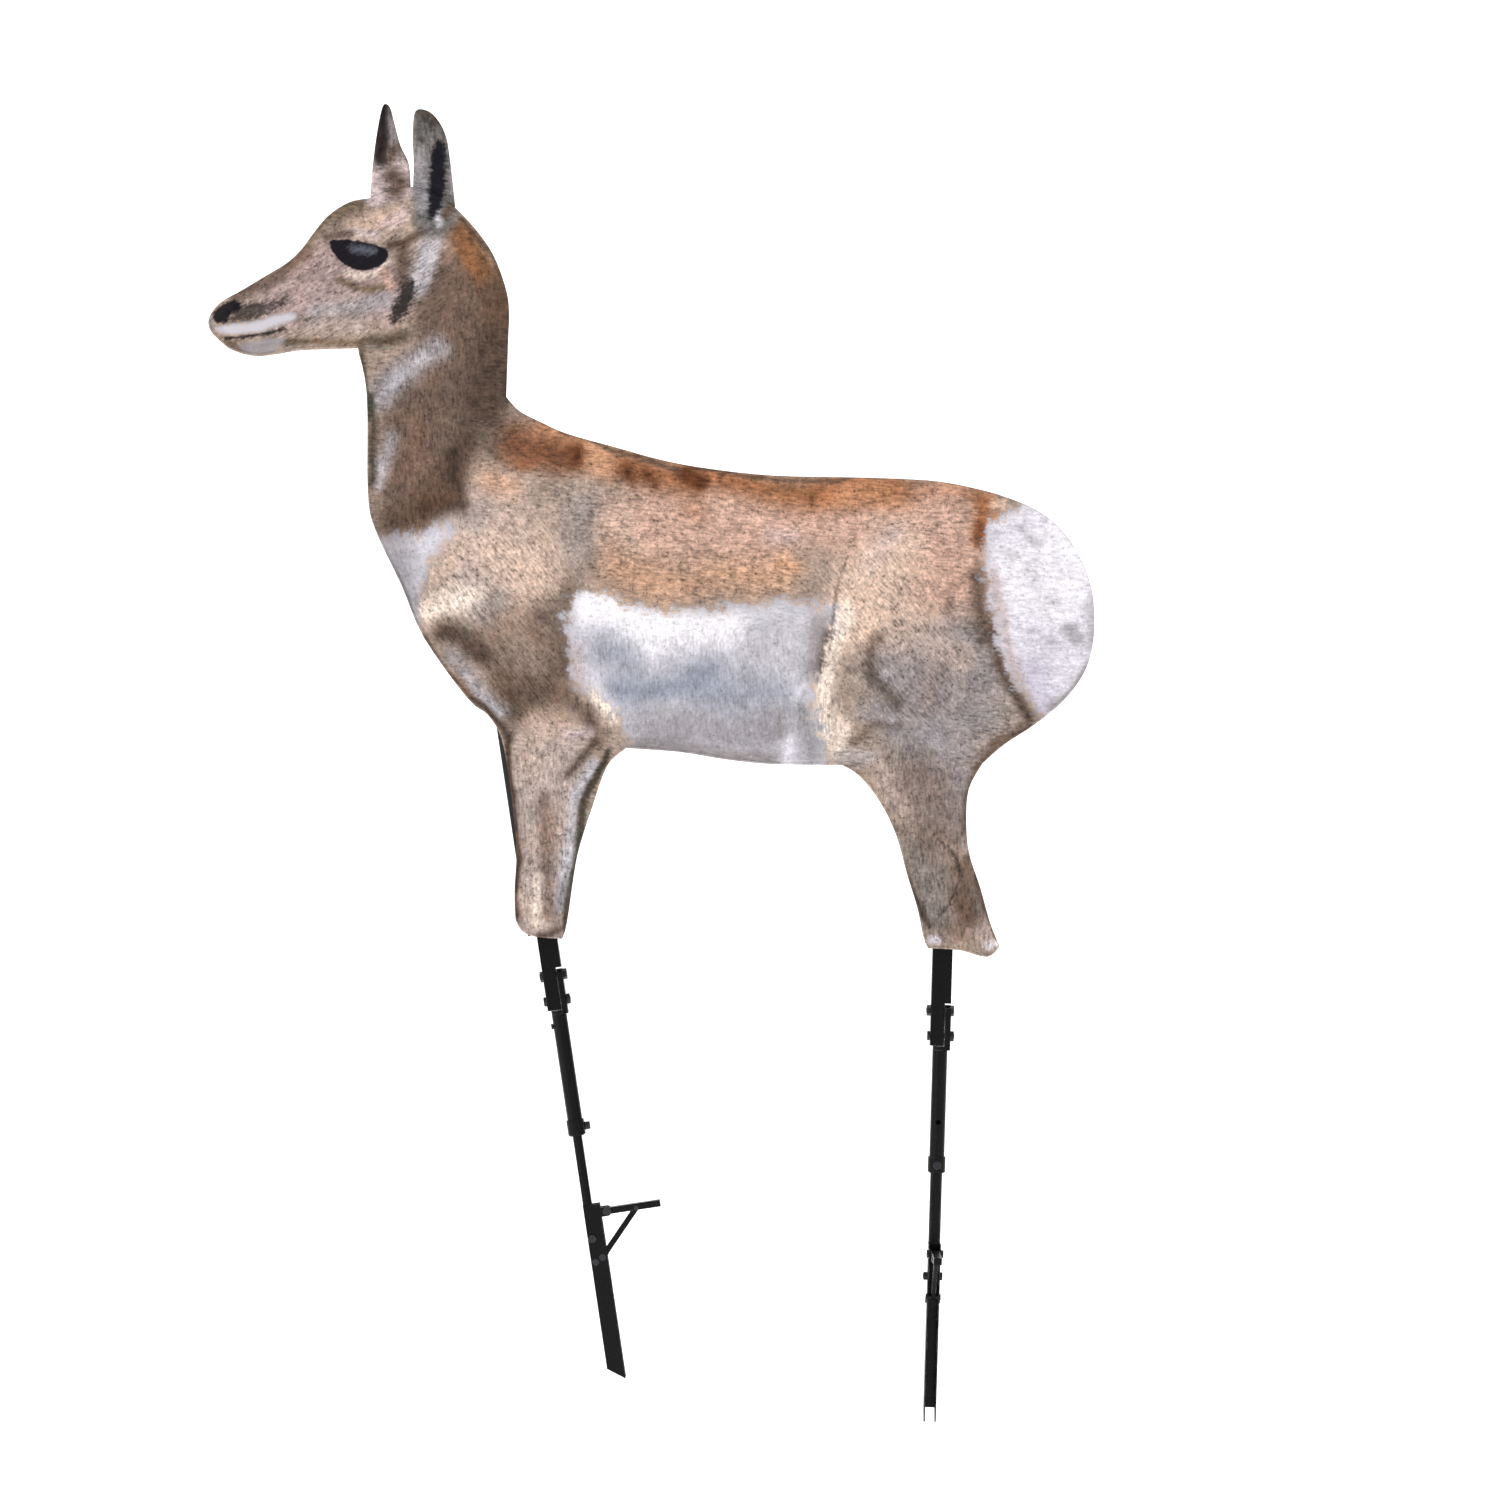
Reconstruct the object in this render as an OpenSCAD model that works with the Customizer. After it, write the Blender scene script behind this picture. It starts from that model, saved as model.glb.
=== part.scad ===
// Folding pronghorn decoy: a printed fabric panel, held open by a sprung steel band, on two
// telescoping steel legs with ground stakes and fold-down foot steps. Millimetres, +Z up.
// The origin is where the front stake enters the ground. The animal faces -X.

/* [Panel] */
// Thickness of one layer of printed cloth
skin_t = 0.8; // [0.5:0.1:1.2]
// Width of the spring steel band, across the panel
band_w = 6; // [4:0.5:8]
// Thickness of the spring steel band
band_t = 0.8; // [0.5:0.1:1.1]
// Distance from the middle of the panel forward to the middle of the legs
panel_back = 12; // [12:0.1:14]
// Straight pieces per stretch between two outline points
curve_steps = 4; // [2:1:6]

/* [Ears] */
// Full thickness of an ear
ear_t = 5; // [4:0.5:8]
// Width of the flat wire stay inside an ear
stay_w = 2; // [1.5:0.1:3]

/* [Leg] */
// Lean of the front leg, its foot towards the tail
front_lean = 8.5; // [4:0.5:12]
// Lean of the rear leg, its foot towards the head
rear_lean = 1.7; // [0:0.1:4]
// Width of the upper rail, seen from the side of the animal
rail_w = 21; // [20:0.5:22]
// Depth of the upper rail
rail_d = 12; // [11:0.5:12.5]
// Wall of the upper rail
rail_wall = 1.2; // [1:0.1:2]
// Height of the rail's top end above the ground
rail_top = 640; // [560:10:660]
// Outer diameter of the middle tube
tube_d = 15.9; // [15.5:0.1:16]
// Diameter of the round stake rod that slides in the middle tube
rod_d = 12.7; // [12:0.1:12.8]
// Size across the two flats of the stake rod
rod_flat = 9.5; // [9:0.1:10]

/* [Fold] */
// Height of the folding bolt above the ground
fold_z = 250; // [246:1:256]
// Distance of the folding bolt behind the middle of the rail
fold_y = 9; // [8.7:0.1:9.5]
// Distance of the lock stud below the folding bolt
lock_drop = 26; // [25:0.5:27]
// Diameter of the folding bolt and of the lock stud
bolt_d = 6; // [5:0.5:6]

/* [Stake] */
// Length of the stake in the ground
stake_len = 180; // [150:5:220]
// Depth of the stake's channel, along the step
stake_w = 18; // [17:0.5:20]
// Width of the stake's channel, across the step
stake_d = 13; // [12.8:0.1:14]
// Wall of the stake's channel
stake_wall = 1.5; // [1.2:0.1:1.5]

/* [Step] */
// Reach of the step's end from the middle of the leg
step_reach = 76; // [70:1:90]
// Width of the step's tread
step_w = 8.6; // [8:0.1:9]
// Height of the step bar
step_h = 7; // [6.5:0.1:7.5]
// Distance of the brace's upper pin from the middle of the leg
brace_x = 50; // [46:0.5:54]

/* [Hidden] */
LEG_PARTS = ["rail", "rail_cap", "pivot_bolt", "pivot_nut", "knuckle", "lock_stud", "lock_nut",
    "tube", "swivel_screw", "collar", "thumb_screw", "rod", "stake", "tang_bolt", "step_bolt",
    "brace_rivet", "step_bar", "brace_pin", "step_brace", "pocket", "pocket_tape"];
PANEL_PARTS = ["near_skin", "far_skin", "edge_binding", "spring_band", "band_joiner",
    "near_ear", "far_ear", "near_ear_stay", "far_ear_stay"];
$fn = 48;
fit = 0.05;                      // radial play of a turning or sliding fit
near_gap = 0.2;                  // gap between pieces that don't touch
cut = 1;                         // how far a cut runs past the face it opens
near = -1;                       // the side of the panel that is seen first
far = 1;

// Outline of the animal without its ears, as [x, z] points on smooth stretches that meet at corners
chest = [[-242, 907], [-232, 858], [-231, 756], [-223, 716], [-196, 659], [-172, 603], [-126, 539],
    [-105, 522], [-91, 498], [-83, 457], [-78, 417], [-75, 377], [-77, 337], [-76, 307]];
front_hem = [[-76, 307], [-69, 295], [-54, 289], [-27, 287]];
elbow = [[-27, 287], [-22, 305], [-13, 366], [-5, 397], [5, 427], [15, 457], [24, 474], [40, 487]];
belly = [[40, 487], [96, 483], [146, 475], [196, 470], [267, 469]];
stifle = [[267, 469], [285, 458], [307, 430], [324, 395], [335, 355], [346, 319], [352, 290], [357, 277]];
rear_hem = [[357, 277], [390, 275], [419, 268], [432, 279]];
hock = [[432, 279], [422, 304], [412, 340], [400, 377], [397, 413], [400, 445], [414, 471]];
rump_and_back = [[414, 471], [437, 491], [469, 512], [498, 536], [520, 565], [530, 597], [531, 637],
    [524, 670], [505, 706], [477, 733], [440, 750], [400, 761], [357, 768], [286, 771], [196, 773],
    [129, 780], [79, 789], [28, 803], [-22, 817], [-51, 830], [-72, 841], [-86, 856]];
nape = [[-86, 856], [-84, 914], [-83, 947], [-87, 972], [-100, 1006], [-119, 1033], [-139, 1054]];
poll = [[-139, 1054], [-160, 1069], [-185, 1076], [-208, 1072], [-230, 1064]];
face = [[-230, 1064], [-250, 1060], [-271, 1047], [-286, 1030], [-301, 1010], [-316, 996], [-339, 982],
    [-364, 967], [-385, 955], [-397, 940], [-397, 927], [-387, 915], [-373, 905], [-350, 899],
    [-327, 901], [-301, 905], [-246, 907], [-242, 907]];
STRETCHES = [chest, front_hem, elbow, belly, stifle, rear_hem, hock, rump_and_back, nape, poll, face];
near_ear_edge = [[-229, 1060], [-227, 1088], [-224, 1116], [-220, 1142], [-215, 1162], [-208, 1160],
    [-203, 1142], [-197, 1120], [-188, 1100], [-186, 1070]];
far_ear_edge = [[-184, 1070], [-183, 1100], [-184, 1130], [-181, 1156], [-166, 1155], [-154, 1141],
    [-148, 1125], [-145, 1106], [-142, 1080], [-139, 1052]];

// Places across the panel and round its edge
panel_half = band_w / 2 + near_gap + skin_t;   // half of the panel's thickness
binding_t = 1.2;                               // thickness of the edge binding, in the panel's plane
band_in = 1.9;                                 // the band's outer side, in from the panel's edge
joiner_t = 0.5;
joiner_x = [120, 150];                         // where the joiner holds the band's two ends
joiner_z = [455, 495];                         // heights that take in the panel's edge there

// Places on a leg, in its own frame: Z up the leg from the ground, X towards the step
left_x = -11;                                  // the rail's two sides
right_x = left_x + rail_w;
cap_t = 2;                                     // thickness of the rail's cap
cap_plug = 12;                                 // depth of the cap inside the rail
tongue_x = left_x + 14.5;                      // right side of the rail's tongue
plate_x = tongue_x + 0.5;                      // left side of the knuckle's plate
plate_right = right_x + 0.2;                   // and its right side
plate_rise = 4;                                // the plate's flat top above the folding bolt
tongue_z = fold_z - 36;                        // lower end of the tongue
shoulder_z = fold_z + 8.5;                     // lower end of the rail's full width
hollow_z = shoulder_z + 6;                     // where the rail becomes a hollow tube
lug_r = 6.5;
disc_z = tongue_z - 0.6;                       // top of the knuckle's disc
disc_t = 4;
lock_z = fold_z - lock_drop;
lock_arc = norm([fold_y, lock_drop]);          // distance of the lock stud from the folding bolt
lock_gap = 0.3;                                // play of the lock stud in its slot
head_seat = plate_right + near_gap;            // where the heads on the plate's side start
bolt_past = 0.5;                               // how far a bolt stands out of its nut
fold_hex = 10;                                 // the folding bolt's head and nut, across flats
fold_head_h = 3.6;
fold_nut_h = 3.5;
stud_head = [5, 2.7];                          // the lock stud's head: radius and height
lock_nut_size = [5.5, 3.6];
tube_r = tube_d / 2;
bore_r = rod_d / 2 + 0.1;                      // inner radius of the middle tube
spigot_r = bore_r - fit;
tube_top = disc_z - disc_t - near_gap;
tube_low = 80;
spigot_len = 22;
swivel_z = tube_top - 12;
swivel_groove = 1.4;                           // depth of the groove in the spigot
swivel_r = 1.5;
swivel_head = [3, 2];
groove_h = 4.4;
groove_spare = 25;                             // degrees of groove past each end of the swivel
collar_z = [81, 97];
collar_r = 9.3;
thumb_z = 89;
thumb_r = 2.5;
button_z = 134;                                // the tube's upper hole
head_x = [11, 15];                             // the thumb screw's head
thumb_head_r = 4.2;
boss_r = 4.5;                                  // the collar's boss round the thumb screw
rod_top = 115;
tang_low = -60;
tang_x = [-3.4, 3.0];
stake_x = -5;                                  // back of the stake's channel
stake_top = 6.2;
mouth_x = stake_x + stake_w;
inner_d = stake_d - 2 * stake_wall;
ear_x = 19.5;                                  // the step's pivot
ear_z = -3;
ear_r = 5;
point_rise = 13;                               // the stake's back edge ends this much higher
tang_bolt_z = -29;
tang_rivet_z = -54;
tang_hex = 8;                                  // the tang bolt's head and nut, across flats
tang_head_h = 3;
tang_nut_h = 4;
rivet_head = [3.4, 1.4];
step_head = [4.2, 2.2];
brace_z = -4.5;                                // the brace's upper pin
foot = [8, -50];                               // the rivet that the brace stands on
pin_r = 2;
step_pin_r = 2.5;
brace_w = 6;
brace_t = 4.6;
brace_foot = [6, 6.8];                         // the brace's thicker lower end
brace_pin_r = 1.5;
brace_pin_head = [2.4, 0.8];
seat_r = pin_r + 0.8;                          // the brace's seat on the rivet
bar_wall = 1.5;
bar_solid = 4.5;                               // the step bar is solid this far past its pivot

// Sleeves on the back of the panel
pocket_gap = 0.6;
pocket_t = 1.3;
pocket_top = rail_top + 4;
tape_t = 1;
tape_h = 14;

BLACK = [0.05, 0.05, 0.055];
ZINC = [0.72, 0.72, 0.7];
FUR = [0.6, 0.46, 0.36];
CLOTH_BLACK = [0.09, 0.09, 0.09];

// Point at share t of the way from p1 to p2 on a smooth curve that also heeds p0 and p3
function on_curve(p0, p1, p2, p3, t) =
    0.5 * (2 * p1 + (p2 - p0) * t + (2 * p0 - 5 * p1 + 4 * p2 - p3) * t * t
        + (3 * p1 - p0 - 3 * p2 + p3) * t * t * t);

// A smooth line through the points, without its last point
function smooth(pts) = [
    for (i = [0 : len(pts) - 2])
        for (k = [0 : curve_steps - 1])
            on_curve(pts[max(i - 1, 0)], pts[i], pts[i + 1], pts[min(i + 2, len(pts) - 1)],
                k / curve_steps)
];

// Leg frames: name, ground point [x, z], lean of the leg's top, turn of everything below the knuckle
function leg_at(side) = side == "front" ? [0, 0] : [364, -40];
function leg_lean(side) = side == "front" ? -front_lean : rear_lean;
function leg_turn(side) = side == "front" ? 0 : -90;
function hem_rise(side) = side == "front" ? 296 : 322;

module on_leg(side) {
    at = leg_at(side);
    translate([at[0], 0, at[1]]) rotate([0, leg_lean(side), 0]) children();
}

module below_knuckle(side) {
    on_leg(side) rotate([0, 0, leg_turn(side)]) children();
}

// A block between two corners
module block(low, high) {
    translate(low) cube(high - low);
}

// A round bar along X, Y or Z, starting at a point
module bar_x(at, r, len) {
    translate(at) rotate([0, 90, 0]) cylinder(r = r, h = len);
}
module bar_y(at, r, len) {
    translate(at) rotate([-90, 0, 0]) cylinder(r = r, h = len);
}
module hex_x(at, across, len) {
    translate(at) rotate([0, 90, 0]) cylinder(r = across / sqrt(3), h = len, $fn = 6);
}
module hex_y(at, across, len) {
    translate(at) rotate([-90, 0, 0]) cylinder(r = across / sqrt(3), h = len, $fn = 6);
}

// A pin along Y, out to both sides of the middle by out, with a round head on each end
module headed_pin(at, r, out, head) {
    bar_y([at[0], -out, at[1]], r, 2 * out);
    bar_y([at[0], -out - head[1], at[1]], head[0], head[1]);
    bar_y([at[0], out, at[1]], head[0], head[1]);
}

// A flat shape drawn in X and Z, made thick along Y between two values
module upright(y_low, y_high) {
    translate([0, y_high, 0]) rotate([90, 0, 0]) linear_extrude(height = y_high - y_low) children();
}
// A flat shape drawn in Y and Z, made thick along X between two values
module sideways(x_low, x_high) {
    translate([x_low, 0, 0]) rotate([90, 0, 90]) linear_extrude(height = x_high - x_low) children();
}

// ---- Panel ----
module animal() {
    polygon([for (stretch = STRETCHES) for (p = smooth(stretch)) p]);
}
module animal_in(inset) {
    offset(delta = -inset) animal();
}
module animal_ring(outer, inner) {
    difference() {
        if (outer > 0) animal_in(outer); else animal();
        animal_in(inner);
    }
}
module across_panel(half) {
    upright(-panel_back - half, -panel_back + half) children();
}
// The front skin and the back skin: printed cloth cut to the animal's outline
module skin(side) {
    inner = -panel_back + side * (panel_half - skin_t);
    outer = -panel_back + side * panel_half;
    color(FUR) upright(min(inner, outer), max(inner, outer)) animal_in(binding_t);
}
module near_skin() {
    skin(near);
}
module far_skin() {
    skin(far);
}
// Tape sewn round the edge, which closes the channel that the band runs in
module edge_binding() {
    color(FUR) across_panel(panel_half) animal_ring(0, binding_t);
}
// One closed loop of flat spring steel, its width across the panel
module spring_band() {
    color(ZINC) across_panel(band_w / 2) animal_ring(band_in, band_in + band_t);
}
// The crimped sleeve over the band's two ends, on the belly
module band_joiner() {
    color(ZINC) difference() {
        across_panel(band_w / 2 + near_gap / 2) intersection() {
            animal_ring(band_in - joiner_t, band_in + band_t + joiner_t);
            translate([joiner_x[0], joiner_z[0]])
                square([joiner_x[1] - joiner_x[0], joiner_z[1] - joiner_z[0]]);
        }
        across_panel(band_w / 2) animal_ring(band_in, band_in + band_t);
    }
}

// ---- Ears: sewn cloth envelopes, each on a bent flat wire ----
module ear_shape(edge) {
    difference() {
        polygon(concat(smooth(edge), [edge[len(edge) - 1]]));
        animal();
    }
}
module ear(edge) {
    color(FUR) difference() {
        across_panel(ear_t / 2) ear_shape(edge);
        across_panel(ear_t / 2 - skin_t) offset(delta = -skin_t) ear_shape(edge);
    }
}
module ear_stay(edge) {
    color(ZINC) across_panel(ear_t / 2 - skin_t - near_gap) difference() {
        offset(delta = -skin_t - near_gap) ear_shape(edge);
        offset(delta = -skin_t - near_gap - stay_w) ear_shape(edge);
    }
}

// ---- Sleeves on the back of the panel that hold the rails ----
module pocket(side) {
    wide = [right_x + pocket_gap, rail_d / 2 + pocket_gap];
    color(FUR) on_leg(side) difference() {
        block([left_x - pocket_gap - pocket_t, -wide[1] - pocket_t, hem_rise(side)],
            [wide[0] + pocket_t, wide[1] + pocket_t, pocket_top + pocket_t]);
        block([left_x - pocket_gap, -wide[1], hem_rise(side) - cut], [wide[0], wide[1], pocket_top]);
    }
}
// Tape that binds the sleeve's mouth on its three free sides
module pocket_tape(side) {
    wide = [right_x + pocket_gap + pocket_t, rail_d / 2 + pocket_gap + pocket_t];
    left = left_x - pocket_gap - pocket_t;
    color(CLOTH_BLACK) on_leg(side) difference() {
        block([left - tape_t, -wide[1], hem_rise(side)],
            [wide[0] + tape_t, wide[1] + tape_t, hem_rise(side) + tape_h]);
        block([left, -wide[1] - cut, hem_rise(side) - cut],
            [wide[0], wide[1], hem_rise(side) + tape_h + cut]);
    }
}

// ---- Upper rail: rectangular tube with a solid, slotted tongue ----
module tongue_side() {
    difference() {
        union() {
            translate([-rail_d / 2, tongue_z]) square([rail_d, hollow_z - tongue_z]);
            translate([0, fold_z - lug_r]) square([fold_y, 2 * lug_r]);
            translate([fold_y, fold_z]) circle(r = lug_r);
        }
        translate([fold_y, fold_z]) circle(r = bolt_d / 2);
        translate([0, lock_z]) circle(r = bolt_d / 2 + lock_gap);
        intersection() {
            translate([fold_y, fold_z]) difference() {
                circle(r = lock_arc + bolt_d / 2 + lock_gap);
                circle(r = lock_arc - bolt_d / 2 - lock_gap);
            }
            translate([0, tongue_z]) square([fold_y + bolt_d / 2, lock_z - tongue_z + bolt_d]);
        }
    }
}
module rail(side) {
    color(BLACK) on_leg(side) {
        sideways(left_x, tongue_x) tongue_side();
        block([tongue_x, -rail_d / 2, shoulder_z], [right_x, rail_d / 2, hollow_z]);
        difference() {
            block([left_x, -rail_d / 2, hollow_z], [right_x, rail_d / 2, rail_top]);
            block([left_x + rail_wall, -rail_d / 2 + rail_wall, hollow_z],
                [right_x - rail_wall, rail_d / 2 - rail_wall, rail_top + cut]);
        }
    }
}
module rail_cap(side) {
    inside = [right_x - rail_wall, rail_d / 2 - rail_wall];
    color(CLOTH_BLACK) on_leg(side) {
        block([left_x, -rail_d / 2, rail_top], [right_x, rail_d / 2, rail_top + cap_t]);
        block([left_x + rail_wall, -inside[1], rail_top - cap_plug], [inside[0], inside[1], rail_top]);
    }
}

// ---- Knuckle: a plate beside the tongue, a disc, and a spigot that the tube turns on ----
module plate_side() {
    difference() {
        union() {
            translate([-tube_r, disc_z - disc_t])
                square([2 * tube_r, fold_z + plate_rise - disc_z + disc_t]);
            translate([0, fold_z - lug_r]) square([fold_y, 2 * lug_r]);
            translate([fold_y, fold_z]) circle(r = lug_r);
        }
        translate([fold_y, fold_z]) circle(r = bolt_d / 2 + fit);
        translate([0, lock_z]) circle(r = bolt_d / 2);
    }
}
module knuckle(side) {
    color(BLACK) on_leg(side) difference() {
        union() {
            sideways(plate_x, plate_right) plate_side();
            translate([0, 0, disc_z - disc_t]) cylinder(r = tube_r, h = disc_t);
            translate([0, 0, tube_top - spigot_len]) cylinder(r = spigot_r, h = spigot_len + disc_t);
        }
        translate([0, 0, swivel_z - groove_h / 2]) rotate([0, 0, -groove_spare])
            rotate_extrude(angle = 180 + 2 * groove_spare) translate([spigot_r - swivel_groove, 0])
                square([swivel_groove + cut, groove_h]);
    }
}
// The bolt that the leg folds on
module pivot_bolt(side) {
    end = left_x - near_gap - fold_nut_h - bolt_past;
    color(ZINC) on_leg(side) {
        bar_x([end, fold_y, fold_z], bolt_d / 2, head_seat - end);
        hex_x([head_seat, fold_y, fold_z], fold_hex, fold_head_h);
    }
}
module pivot_nut(side) {
    at = left_x - near_gap - fold_nut_h;
    color(ZINC) on_leg(side) difference() {
        hex_x([at, fold_y, fold_z], fold_hex, fold_nut_h);
        bar_x([at - cut, fold_y, fold_z], bolt_d / 2, fold_nut_h + 2 * cut);
    }
}
// The stud that keeps the leg straight, fixed in the plate, in the tongue's open slot
module lock_stud(side) {
    head = left_x - lock_gap - stud_head[1];
    color(ZINC) on_leg(side) {
        bar_x([head, 0, lock_z], bolt_d / 2, head_seat + lock_nut_size[1] + bolt_past - head);
        bar_x([head, 0, lock_z], stud_head[0], stud_head[1]);
    }
}
module lock_nut(side) {
    color(ZINC) on_leg(side) difference() {
        bar_x([head_seat, 0, lock_z], lock_nut_size[0], lock_nut_size[1]);
        bar_x([head_seat - cut, 0, lock_z], bolt_d / 2 + fit, lock_nut_size[1] + 2 * cut);
    }
}

// ---- Middle tube, with the collar that clamps the stake rod ----
module tube(side) {
    color(BLACK) below_knuckle(side) difference() {
        translate([0, 0, tube_low]) cylinder(r = tube_r, h = tube_top - tube_low);
        translate([0, 0, tube_low - cut]) cylinder(r = bore_r, h = tube_top - tube_low + 2 * cut);
        bar_x([0, 0, thumb_z], thumb_r + fit, tube_d);
        bar_x([0, 0, button_z], thumb_r, tube_d);
        bar_x([-tube_d, 0, swivel_z], swivel_r, tube_d);
    }
}
module swivel_screw(side) {
    tip = -(spigot_r - swivel_groove + near_gap);
    head = -tube_r - near_gap - swivel_head[1];
    color(ZINC) below_knuckle(side) {
        bar_x([head, 0, swivel_z], swivel_r, tip - head);
        bar_x([head, 0, swivel_z], swivel_head[0], swivel_head[1]);
    }
}
module collar(side) {
    color(BLACK) below_knuckle(side) difference() {
        union() {
            translate([0, 0, collar_z[0]]) cylinder(r = collar_r, h = collar_z[1] - collar_z[0]);
            bar_x([0, 0, thumb_z], boss_r, head_x[0] - near_gap);
        }
        translate([0, 0, collar_z[0] - cut])
            cylinder(r = tube_r, h = collar_z[1] - collar_z[0] + 2 * cut);
        bar_x([0, 0, thumb_z], thumb_r + fit, tube_d);
    }
}
module thumb_screw(side) {
    color(ZINC) below_knuckle(side) {
        bar_x([rod_flat / 2 + near_gap, 0, thumb_z], thumb_r, head_x[1] - rod_flat / 2 - near_gap);
        bar_x([head_x[0], 0, thumb_z], thumb_head_r, head_x[1] - head_x[0]);
    }
}

// ---- Stake rod and stake ----
module rod(side) {
    color(BLACK) below_knuckle(side) {
        intersection() {
            translate([0, 0, stake_top]) cylinder(r = rod_d / 2, h = rod_top - stake_top);
            block([-rod_flat / 2, -rod_d, 0], [rod_flat / 2, rod_d, rod_top]);
        }
        difference() {
            block([tang_x[0], -inner_d / 2 + fit, tang_low], [tang_x[1], inner_d / 2 - fit, stake_top]);
            bar_y([0, -rod_d, tang_bolt_z], step_pin_r, 2 * rod_d);
            bar_y([0, -rod_d, tang_rivet_z], pin_r, 2 * rod_d);
        }
    }
}
// Channel of folded sheet steel, open towards the step, with ears for the step's pivot
module stake_side() {
    difference() {
        union() {
            polygon([[stake_x, stake_top], [mouth_x, stake_top], [mouth_x, ear_z + ear_r],
                [ear_x, ear_z + ear_r], [ear_x, ear_z - ear_r], [mouth_x, ear_z - ear_r],
                [mouth_x, -stake_len], [stake_x, -stake_len + point_rise]]);
            translate([ear_x, ear_z]) circle(r = ear_r);
        }
        translate([ear_x, ear_z]) circle(r = step_pin_r);
        translate([0, tang_bolt_z]) circle(r = step_pin_r);
        translate([0, tang_rivet_z]) circle(r = pin_r);
        translate(foot) circle(r = pin_r);
    }
}
module stake(side) {
    color(BLACK) below_knuckle(side) difference() {
        upright(-stake_d / 2, stake_d / 2) stake_side();
        block([stake_x + stake_wall, -inner_d / 2, -stake_len - cut],
            [ear_x + ear_r + cut, inner_d / 2, stake_top + cut]);
    }
}
// The bolt and the rivet that hold the rod's tang in the stake
module tang_bolt(side) {
    out = stake_d / 2;
    end = -out - tang_nut_h - bolt_past;
    color(ZINC) below_knuckle(side) {
        bar_y([0, end, tang_bolt_z], step_pin_r, out - end + tang_head_h);
        hex_y([0, out, tang_bolt_z], tang_hex, tang_head_h);
        hex_y([0, -out - tang_nut_h, tang_bolt_z], tang_hex, tang_nut_h);
        headed_pin([0, tang_rivet_z], pin_r, out, rivet_head);
    }
}
module step_bolt(side) {
    color(ZINC) below_knuckle(side) headed_pin([ear_x, ear_z], step_pin_r, stake_d / 2, step_head);
}
module brace_rivet(side) {
    color(ZINC) below_knuckle(side) headed_pin(foot, pin_r, stake_d / 2, rivet_head);
}

// ---- Foot step: a channel turned down, propped by a brace ----
module step_bar(side) {
    low = ear_z - step_h / 2;
    color(BLACK) below_knuckle(side) difference() {
        upright(-step_w / 2, step_w / 2) difference() {
            union() {
                translate([ear_x, low]) square([step_reach - ear_x, step_h]);
                translate([ear_x, ear_z]) circle(r = step_h / 2);
            }
            translate([ear_x, ear_z]) circle(r = step_pin_r + fit);
            translate([brace_x, brace_z]) circle(r = brace_pin_r);
        }
        block([ear_x + bar_solid, -step_w / 2 + bar_wall, low - cut],
            [step_reach - bar_wall, step_w / 2 - bar_wall, low + step_h - bar_wall]);
    }
}
module brace_pin(side) {
    color(ZINC) below_knuckle(side)
        headed_pin([brace_x, brace_z], brace_pin_r, step_w / 2, brace_pin_head);
}
module step_brace(side) {
    reach = [brace_x, brace_z] - foot;
    long = norm(reach);
    color(BLACK) below_knuckle(side) upright(-brace_t / 2, brace_t / 2)
        translate(foot) rotate(atan2(reach[1], reach[0])) difference() {
            union() {
                translate([0, -brace_foot[1] / 2]) square(brace_foot);
                translate([0, -brace_w / 2]) square([long, brace_w]);
                translate([long, 0]) circle(r = brace_w / 2);
            }
            circle(r = seat_r);
            translate([long, 0]) circle(r = brace_pin_r + fit);
        }
}

module leg_part(side, name) {
    if (name == "rail") rail(side);
    if (name == "rail_cap") rail_cap(side);
    if (name == "pivot_bolt") pivot_bolt(side);
    if (name == "pivot_nut") pivot_nut(side);
    if (name == "knuckle") knuckle(side);
    if (name == "lock_stud") lock_stud(side);
    if (name == "lock_nut") lock_nut(side);
    if (name == "tube") tube(side);
    if (name == "swivel_screw") swivel_screw(side);
    if (name == "collar") collar(side);
    if (name == "thumb_screw") thumb_screw(side);
    if (name == "rod") rod(side);
    if (name == "stake") stake(side);
    if (name == "tang_bolt") tang_bolt(side);
    if (name == "step_bolt") step_bolt(side);
    if (name == "brace_rivet") brace_rivet(side);
    if (name == "step_bar") step_bar(side);
    if (name == "brace_pin") brace_pin(side);
    if (name == "step_brace") step_brace(side);
    if (name == "pocket") pocket(side);
    if (name == "pocket_tape") pocket_tape(side);
}

near_skin();
far_skin();
edge_binding();
spring_band();
band_joiner();
ear(near_ear_edge);  // near_ear
ear(far_ear_edge);  // far_ear
ear_stay(near_ear_edge);  // near_ear_stay
ear_stay(far_ear_edge);  // far_ear_stay
for (side = ["front", "rear"])
    for (name = LEG_PARTS)
        leg_part(side, name);
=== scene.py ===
import math

import bmesh
import bpy
import numpy as np
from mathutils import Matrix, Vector, geometry, noise


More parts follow.
